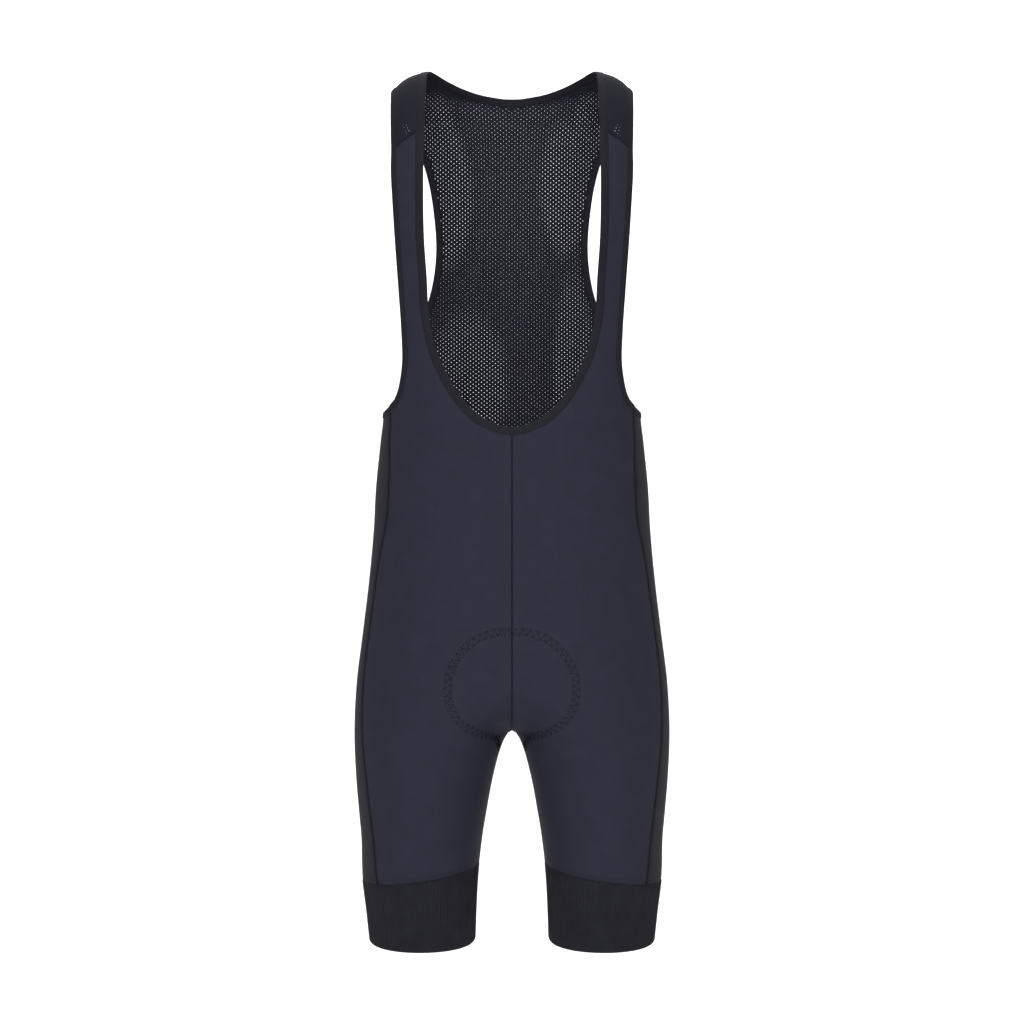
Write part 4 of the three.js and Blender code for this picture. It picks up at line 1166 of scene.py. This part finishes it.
def band_object(name):
    share = np.linspace(0, 1, BAND_COLUMNS + 1)
    top_z = gripper_seam_points(share)[:, 2]
    rows = []
    directions = []
    for level, sink in zip(BAND_LEVELS, BAND_EDGE_SINK):
        z = top_z + (HEM_Z - top_z) * level
        outward = form_directions(share, z)
        rows.append(form_points(share, z) - outward * sink)
        directions.append(outward)
    outer = np.array(rows)
    outward = np.array(directions)
    places = outer[:, :-1]
    ring = BAND_COLUMNS
    inner_rows = [outer[row][:-1] - outward[row][:-1] * (BAND_WALL - BAND_EDGE_SINK[row])
                  for row in BAND_INSIDE_ROWS]
    points = np.concatenate([places.reshape(-1, 3), np.array(inner_rows).reshape(-1, 3)]) * MM
    levels_in_all = len(BAND_LEVELS) + len(inner_rows)
    faces = []
    for row in range(levels_in_all):
        here = row * ring
        below = (row + 1) % levels_in_all * ring
        for column in range(ring):
            beside = (column + 1) % ring
            faces.append([here + column, below + column, below + beside, here + beside])
    mesh = bpy.data.meshes.new(name)
    mesh.from_pydata(points.tolist(), [], faces)
    around = np.tile(share[:-1], levels_in_all)
    relief = np.repeat(BAND_RELIEF + [0] * len(inner_rows), ring)
    inner_directions = [outward[row][:-1] for row in BAND_INSIDE_ROWS]
    point_attribute(mesh, "around", around)
    point_attribute(mesh, "relief", relief)
    point_directions(mesh, "outward", np.concatenate([outward[:, :-1], inner_directions]))
    write_cut(mesh, np.stack([around * BAND_ROUND, points[:, 2]], axis=1))
    piece = placed_object(name, mesh)
    values = {"Ribs": float(BAND_RIBS), "Rib height": BAND_RIB_HEIGHT * MM, "Material": band_cloth}
    run_tree(piece, rib_tree, values)
    piece.data.shade_smooth()
    piece["cloth_area"] = half_surface(piece.data)
    return piece


band_left = band_object("leg_band_left")
band_right = mirrored_object(band_left, "leg_band_right")
dress_pair((band_left, band_right), "gripper")

# Seat pad
# A moulded foam pad with a knit face, sewn through inside the crotch from the lower belly to the seat.
# It is thickest under the seat, thins to its edge, and has two pressed channels down its length.

PAD_CLEARANCE = 0.5
PAD_EDGE = 1.2
PAD_THICK_FRONT = 4.2
PAD_THICK_BACK = 6.2
PAD_ROW_PARTS = 4
PAD_COLUMNS = 24
PAD_CHANNEL_AT = 0.4
PAD_CHANNEL_WIDTH = 0.06
PAD_CHANNEL_DEPTH = 0.55
PAD_SIDE_TAPER = 0.22
PAD_TOP_TAPER = 0.16
PAD_BOTTOM_TAPER = 0.1
PAD_TAPER_POWER = 0.6
PAD_CREASE = 60

# Reach of the pad from the centre line, along the cloth, to the front and to the back
PAD_REACH = table_of("z front back", [
    (-600, 16, 34), (-606, 36, 56), (-616, 50, 72), (-630, 62, 84), (-646, 69, 90), (-662, 70, 90),
    (-677, 68, 86), (-690, 65, 80), (-700, 62, 75), (-707, 60, 71), (-711.5, 58, 68), (CROTCH_Z, 56, 66),
    (-716.5, 50, 58), (-723, 38, 44), (-730, 18, 22),
])


# Heights and shares of the pad's rows: every row of the table, with more between them
def pad_rows(column):
    count = len(PAD_REACH["z"])
    positions = np.linspace(0, count - 1, (count - 1) * PAD_ROW_PARTS + 1)
    z = np.interp(positions, np.arange(count), PAD_REACH["z"])
    reach = np.interp(positions, np.arange(count), PAD_REACH[column])
    totals = half_sections(z)[1][:, -1]
    return z, reach / totals


def pad_grid(column):
    z, reach = pad_rows(column)
    share = reach[:, None] * np.linspace(0, 1, PAD_COLUMNS + 1)
    if column == "back":
        share = (1 - share)[:, ::-1]
    return form_points(share, np.broadcast_to(z[:, None], share.shape))


pad_grids = {"front": pad_grid("front"), "back": pad_grid("back")}
pad_normals = cloth_normals(pad_grids)


def pad_taper(distance, length):
    return np.clip(distance / length, 0, 1) ** PAD_TAPER_POWER


def pad_part(column, side):
    places = pad_grids[column]
    outward = pad_normals[column]
    across = np.linspace(0, 1, PAD_COLUMNS + 1)
    if column == "back":
        across = across[::-1]
    down = np.linspace(0, 1, len(places))
    thick = PAD_THICK_BACK if column == "back" else PAD_THICK_FRONT
    crotch_thick = (PAD_THICK_BACK + PAD_THICK_FRONT) / 2
    body = thick + (crotch_thick - thick) * np.clip((down - 0.5) * 2, 0, 1)
    crown = pad_taper(1 - across, PAD_SIDE_TAPER)
    ends = pad_taper(down, PAD_TOP_TAPER) * pad_taper(1 - down, PAD_BOTTOM_TAPER)
    channel = 1 - PAD_CHANNEL_DEPTH * np.exp(-((across - PAD_CHANNEL_AT) / PAD_CHANNEL_WIDTH) ** 2)
    thickness = PAD_EDGE + (body * ends)[:, None] * (crown * channel)[None, :]
    gap = PANEL_WALL + PAD_CLEARANCE
    outer = places - outward * gap
    inner = places - outward * (gap + thickness)[..., None]
    cut = cut_places(places)
    if side < 0:
        mirrored = [grid[:, ::-1] * MIRROR for grid in (places, outer, inner)]
        return (*mirrored, cut[:, ::-1])
    return places, outer, inner, cut


pad_cloth = knit_material(
    "pad face knit", (0.014, 0.015, 0.021), (0.024, 0.026, 0.034),
    loop=(1.1, 1.0), roughness=0.85, sheen=0.1, depth=0.3)
pad_parts = [pad_part(column, side) for side in (1, -1) for column in ("front", "back")]
pad = wall_object("seat_pad_foam", pad_parts, pad_cloth, crease=PAD_CREASE)
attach(pad, "root")
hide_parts("seat_pad")

# Seam threads
# Flat seams are covered by a zigzag thread between two rows of stitches, in thread of about the tone of
# the cloth. The tapes have their own rows, and a wide zigzag holds the pad round its edge.

THREAD_RADIUS = 0.2
STITCH_PITCH = 2.6
STITCH_LENGTH = 2.0
COVER_WIDTH = 4.6
COVER_PITCH = 1.5
STITCH_SIDES = 6
STITCH_RINGS = 4
THREAD_SIDES = 5
THREAD_LOOP = (0.3, 0.3)
SEAM_LIFT = 0.12
seam_thread = knit_material(
    "seam thread", (0.011, 0.011, 0.016), (0.024, 0.024, 0.034), loop=THREAD_LOOP, roughness=0.6, depth=0.05)
dark_thread = knit_material(
    "dark thread", (0.004, 0.004, 0.006), (0.013, 0.013, 0.018), loop=THREAD_LOOP, roughness=0.6, depth=0.05)


# Turns a path's edges into a curve and walks it at an even pitch
def even_walk(tree, source):
    curve = tree.nodes.new("GeometryNodeMeshToCurve")
    tree.links.new(source.outputs["Geometry"], curve.inputs["Mesh"])
    walk = add_node(tree, "GeometryNodeResampleCurve", mode="LENGTH")
    tree.links.new(curve.outputs[0], walk.inputs["Curve"])
    tree.links.new(source.outputs["Pitch"], walk.inputs["Length"])
    return walk.outputs[0]


# Stitch rows: one small rounded stitch at each step of the walk
def build_stitch_tree():
    inputs = [("Pitch", "NodeSocketFloat"), ("Stitch length", "NodeSocketFloat"),
              ("Radius", "NodeSocketFloat"), ("Material", "NodeSocketMaterial")]
    tree, source, result = new_node_tree("stitch row", inputs)
    walk = even_walk(tree, source)
    stitch = tree.nodes.new("GeometryNodeMeshUVSphere")
    stitch.inputs["Segments"].default_value = STITCH_SIDES
    stitch.inputs["Rings"].default_value = STITCH_RINGS
    stitch.inputs["Radius"].default_value = 1.0
    tangent = tree.nodes.new("GeometryNodeInputTangent")
    turn = add_node(tree, "FunctionNodeAlignRotationToVector", axis="Z")
    tree.links.new(tangent.outputs[0], turn.inputs["Vector"])
    half_length = math_node(tree, "MULTIPLY", source.outputs["Stitch length"], 0.5)
    size = tree.nodes.new("ShaderNodeCombineXYZ")
    tree.links.new(source.outputs["Radius"], size.inputs[0])
    tree.links.new(source.outputs["Radius"], size.inputs[1])
    tree.links.new(half_length, size.inputs[2])
    place = tree.nodes.new("GeometryNodeInstanceOnPoints")
    tree.links.new(walk, place.inputs["Points"])
    tree.links.new(stitch.outputs["Mesh"], place.inputs["Instance"])
    tree.links.new(turn.outputs[0], place.inputs["Rotation"])
    tree.links.new(size.outputs[0], place.inputs["Scale"])
    finish_tree(tree, place.outputs[0], source.outputs["Material"], result)
    return tree


# Zigzag thread: the steps of the walk go to one side and the other in turn, and a thin tube follows
def build_zigzag_tree():
    inputs = [("Pitch", "NodeSocketFloat"), ("Width", "NodeSocketFloat"),
              ("Radius", "NodeSocketFloat"), ("Material", "NodeSocketMaterial")]
    tree, source, result = new_node_tree("zigzag thread", inputs)
    index = tree.nodes.new("GeometryNodeInputIndex")
    turn = math_node(tree, "FLOORED_MODULO", index.outputs[0], 2.0)
    swing = math_node(tree, "SUBTRACT", turn, 0.5)
    reach = math_node(tree, "MULTIPLY", swing, source.outputs["Width"])
    aside = attribute_of(tree, "aside", "FLOAT_VECTOR")
    zigzag = shift_along(tree, even_walk(tree, source), aside, reach)
    circle = tree.nodes.new("GeometryNodeCurvePrimitiveCircle")
    circle.inputs["Resolution"].default_value = THREAD_SIDES
    tree.links.new(source.outputs["Radius"], circle.inputs["Radius"])
    tube = tree.nodes.new("GeometryNodeCurveToMesh")
    tree.links.new(zigzag, tube.inputs["Curve"])
    tree.links.new(circle.outputs[0], tube.inputs["Profile Curve"])
    tube.inputs["Fill Caps"].default_value = True
    finish_tree(tree, tube.outputs[0], source.outputs["Material"], result)
    return tree


stitch_tree = build_stitch_tree()
zigzag_tree = build_zigzag_tree()


# Directions square to a path that lie in the cloth
def path_sides(path, directions, closed):
    if closed:
        return path_frame(path, directions)
    aside = np.cross(directions, np.gradient(path, axis=0))
    return aside / np.maximum(np.linalg.norm(aside, axis=1, keepdims=True), TINY)


# One object from several paths in millimetres, each (points, outward, offset aside, lift, closed)
def thread_object(name, paths, tree, values, thread):
    points, edges, sides = [], [], []
    for path, directions, offset, lift, closed in paths:
        aside = path_sides(path, directions, closed)
        start = len(points)
        points.extend((path + aside * offset + directions * lift) * MM)
        sides.extend(aside)
        edges.extend((start + n, start + n + 1) for n in range(len(path) - 1))
        if closed:
            edges.append((start + len(path) - 1, start))
    mesh = bpy.data.meshes.new(name)
    mesh.from_pydata([tuple(point) for point in points], edges, [])
    point_directions(mesh, "aside", sides)
    piece = placed_object(name, mesh)
    run_tree(piece, tree, {**values, "Material": thread})
    piece.data.shade_smooth()
    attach(piece, "root")
    return piece


def both_sides(paths):
    mirrored = [(path * MIRROR, directions * MIRROR, -offset, lift, closed)
                for path, directions, offset, lift, closed in paths]
    return paths + mirrored


def stitch_rows(name, paths, thread, pitch=STITCH_PITCH, length=STITCH_LENGTH, radius=THREAD_RADIUS):
    values = {"Pitch": pitch * MM, "Stitch length": length * MM, "Radius": radius * MM}
    return thread_object(name, paths, stitch_tree, values, thread)


def zigzag_rows(name, paths, thread, pitch=COVER_PITCH, width=COVER_WIDTH, radius=THREAD_RADIUS):
    values = {"Pitch": pitch * MM, "Width": width * MM, "Radius": radius * MM}
    return thread_object(name, paths, zigzag_tree, values, thread)


def rows_beside(path, directions, offsets, lift, closed):
    return [(path, directions, offset, lift, closed) for offset in offsets]


inner_leg_row = strap_seam + (CROTCH_RUNG + 1) * RUNG_PARTS
flat_seams = [
    (cloth_grids["side"][:, 0], normals["side"][:, 0]),
    (cloth_grids["side"][:, -1], normals["side"][:, -1]),
    (cloth_grids["front"][inner_leg_row:, 0], normals["front"][inner_leg_row:, 0]),
    (cloth_grids["back"][0], normals["back"][0]),
]
cover_paths = [(path, directions, 0, SEAM_LIFT, False) for path, directions in flat_seams]
cover_edges = (-COVER_WIDTH / 2, COVER_WIDTH / 2)
row_paths = []
for seam_path, seam_directions in flat_seams:
    row_paths += rows_beside(seam_path, seam_directions, cover_edges, SEAM_LIFT, False)
zigzag_rows("seam_cover_thread", both_sides(cover_paths), seam_thread)
stitch_rows("seam_stitch_rows", both_sides(row_paths), seam_thread)

# Tape stitches run along the inner edge of each binding, two rows a few millimetres apart
TAPE_LIFT = 0.8
NECK_ROWS = (1.2, 4.4)
ARMHOLE_ROWS = (-1.0, -3.6)
tape_paths = rows_beside(neck_edge, neck_normals, NECK_ROWS, TAPE_LIFT, True)
stitch_rows("neck_tape_stitches", tape_paths, dark_thread)
arm_paths = rows_beside(armhole_edge, armhole_normals, ARMHOLE_ROWS, TAPE_LIFT, True)
stitch_rows("armhole_tape_stitches", both_sides(arm_paths), dark_thread)

# Short seams: across each strap, and round the top of each leg band
STRAP_SEAM_ROWS = (-1.5, 1.5)
BAND_SEAM_ROWS = (1.9, 5.4)
band_path = np.concatenate([lower_rungs[name][-1][:-1] for name in ("front", "side", "back")])
band_directions = np.concatenate([normals[name][-1][:-1] for name in ("front", "side", "back")])
short_paths = rows_beside(cloth_grids["mesh"][0], normals["mesh"][0], STRAP_SEAM_ROWS, SEAM_LIFT, False)
short_paths += rows_beside(band_path, band_directions, BAND_SEAM_ROWS, SEAM_LIFT, True)
stitch_rows("short_seam_stitches", both_sides(short_paths), dark_thread)

# The pad's zigzag follows its edge, a little inside it, through the front, inner leg and back panels,
# between two rows of longer stitches
PAD_ZIGZAG_WIDTH = 7.5
PAD_ZIGZAG_PITCH = 3.7
PAD_ZIGZAG_INSET = 0.95
PAD_THREAD_RADIUS = 0.44
PAD_ROW_PITCH = 3.7
PAD_ROW_STITCH = 1.9


def pad_ring():
    front_z, front_share = pad_rows("front")
    back_z, back_share = pad_rows("back")
    share = np.concatenate([front_share * PAD_ZIGZAG_INSET, 1 - back_share[::-1] * PAD_ZIGZAG_INSET])
    z = np.concatenate([front_z, back_z[::-1]])
    left = form_points(share, z)
    directions = form_directions(share, z)
    path = np.concatenate([left, left[::-1] * MIRROR])
    return path, np.concatenate([directions, directions[::-1] * MIRROR])


pad_path, pad_directions = pad_ring()
zigzag_rows(
    "pad_zigzag", rows_beside(pad_path, pad_directions, (0,), SEAM_LIFT, True), dark_thread,
    pitch=PAD_ZIGZAG_PITCH, width=PAD_ZIGZAG_WIDTH, radius=PAD_THREAD_RADIUS)
pad_offsets = (-PAD_ZIGZAG_WIDTH / 2, PAD_ZIGZAG_WIDTH / 2)
stitch_rows(
    "pad_edge_stitches", rows_beside(pad_path, pad_directions, pad_offsets, SEAM_LIFT, True), dark_thread,
    pitch=PAD_ROW_PITCH, length=PAD_ROW_STITCH, radius=PAD_THREAD_RADIUS)

# Backdrop, light and camera
# A pale floor that curves up into a wall, lit by large soft lamps, seen level from the front.

FLOOR_Z = -1.15
BACKDROP_HALF_WIDTH = 4.0
PAPER_PATCH_SCALE = 3.0
PAPER_ROUGHNESS = 0.9
STUDIO_STRENGTH = 0.42

# Distance back and height of the backdrop's folds
BACKDROP_PROFILE = [
    (-3.0, FLOOR_Z), (1.6, FLOOR_Z), (2.2, FLOOR_Z + 0.08), (2.6, FLOOR_Z + 0.4), (2.75, 1.0), (2.8, 3.0),
]
backdrop_sides = (-BACKDROP_HALF_WIDTH, BACKDROP_HALF_WIDTH)
backdrop_points = [(x, y, z) for y, z in BACKDROP_PROFILE for x in backdrop_sides]
backdrop_rows = range(len(BACKDROP_PROFILE) - 1)
backdrop_faces = [[row * 2, row * 2 + 1, row * 2 + 3, row * 2 + 2] for row in backdrop_rows]
backdrop_mesh = bpy.data.meshes.new("backdrop")
backdrop_mesh.from_pydata(backdrop_points, [], backdrop_faces)
backdrop_mesh.shade_smooth()
backdrop = placed_object("backdrop", backdrop_mesh)
paper = bpy.data.materials.new("pale paper")
paper.use_nodes = True
paper_tree = paper.node_tree
paper_face = paper_tree.nodes["Principled BSDF"]
paper_noise = paper_tree.nodes.new("ShaderNodeTexNoise")
paper_noise.inputs["Scale"].default_value = PAPER_PATCH_SCALE
paper_mix = add_node(paper_tree, "ShaderNodeMix", data_type="RGBA")
paper_mix.inputs["A"].default_value = (0.86, 0.86, 0.86, 1)
paper_mix.inputs["B"].default_value = (0.9, 0.9, 0.9, 1)
paper_tree.links.new(paper_noise.outputs["Fac"], paper_mix.inputs["Factor"])
paper_tree.links.new(paper_mix.outputs["Result"], paper_face.inputs["Base Color"])
paper_face.inputs["Roughness"].default_value = PAPER_ROUGHNESS
backdrop_mesh.materials.append(paper)


def soft_lamp(name, place, aim, size, power):
    light = bpy.data.lights.new(name, "AREA")
    light.shape = "SQUARE"
    light.size = size
    light.energy = power
    lamp = placed_object(name, light)
    lamp.location = place
    lamp.rotation_euler = (Vector(aim) - Vector(place)).to_track_quat("-Z", "Y").to_euler()


soft_lamp("front_left_lamp", place=(-0.5, -2.3, 0.0), aim=(0, 0, -0.45), size=1.0, power=32)
soft_lamp("front_right_lamp", place=(0.5, -2.3, 0.0), aim=(0, 0, -0.45), size=1.0, power=24)
soft_lamp("backdrop_lamp", place=(0, 1.0, 2.2), aim=(0, 2.6, -0.5), size=2.5, power=120)

world = bpy.data.worlds.new("studio")
bpy.context.scene.world = world
world.use_nodes = True
world_light = world.node_tree.nodes["Background"]
world_light.inputs["Color"].default_value = (1, 1, 1, 1)
world_light.inputs["Strength"].default_value = STUDIO_STRENGTH
bpy.context.scene.view_settings.view_transform = "Standard"

CAMERA_DISTANCE = 2.0
CAMERA_HEIGHT = -0.477
CAMERA_SENSOR = 36.0
CAMERA_LENS = 65.1
camera_data = bpy.data.cameras.new("camera")
camera_data.sensor_width = CAMERA_SENSOR
camera_data.lens = CAMERA_LENS
camera = placed_object("camera", camera_data)
camera.location = (0, -CAMERA_DISTANCE, CAMERA_HEIGHT)
camera.rotation_euler = (math.radians(90), 0, 0)
bpy.context.scene.camera = camera
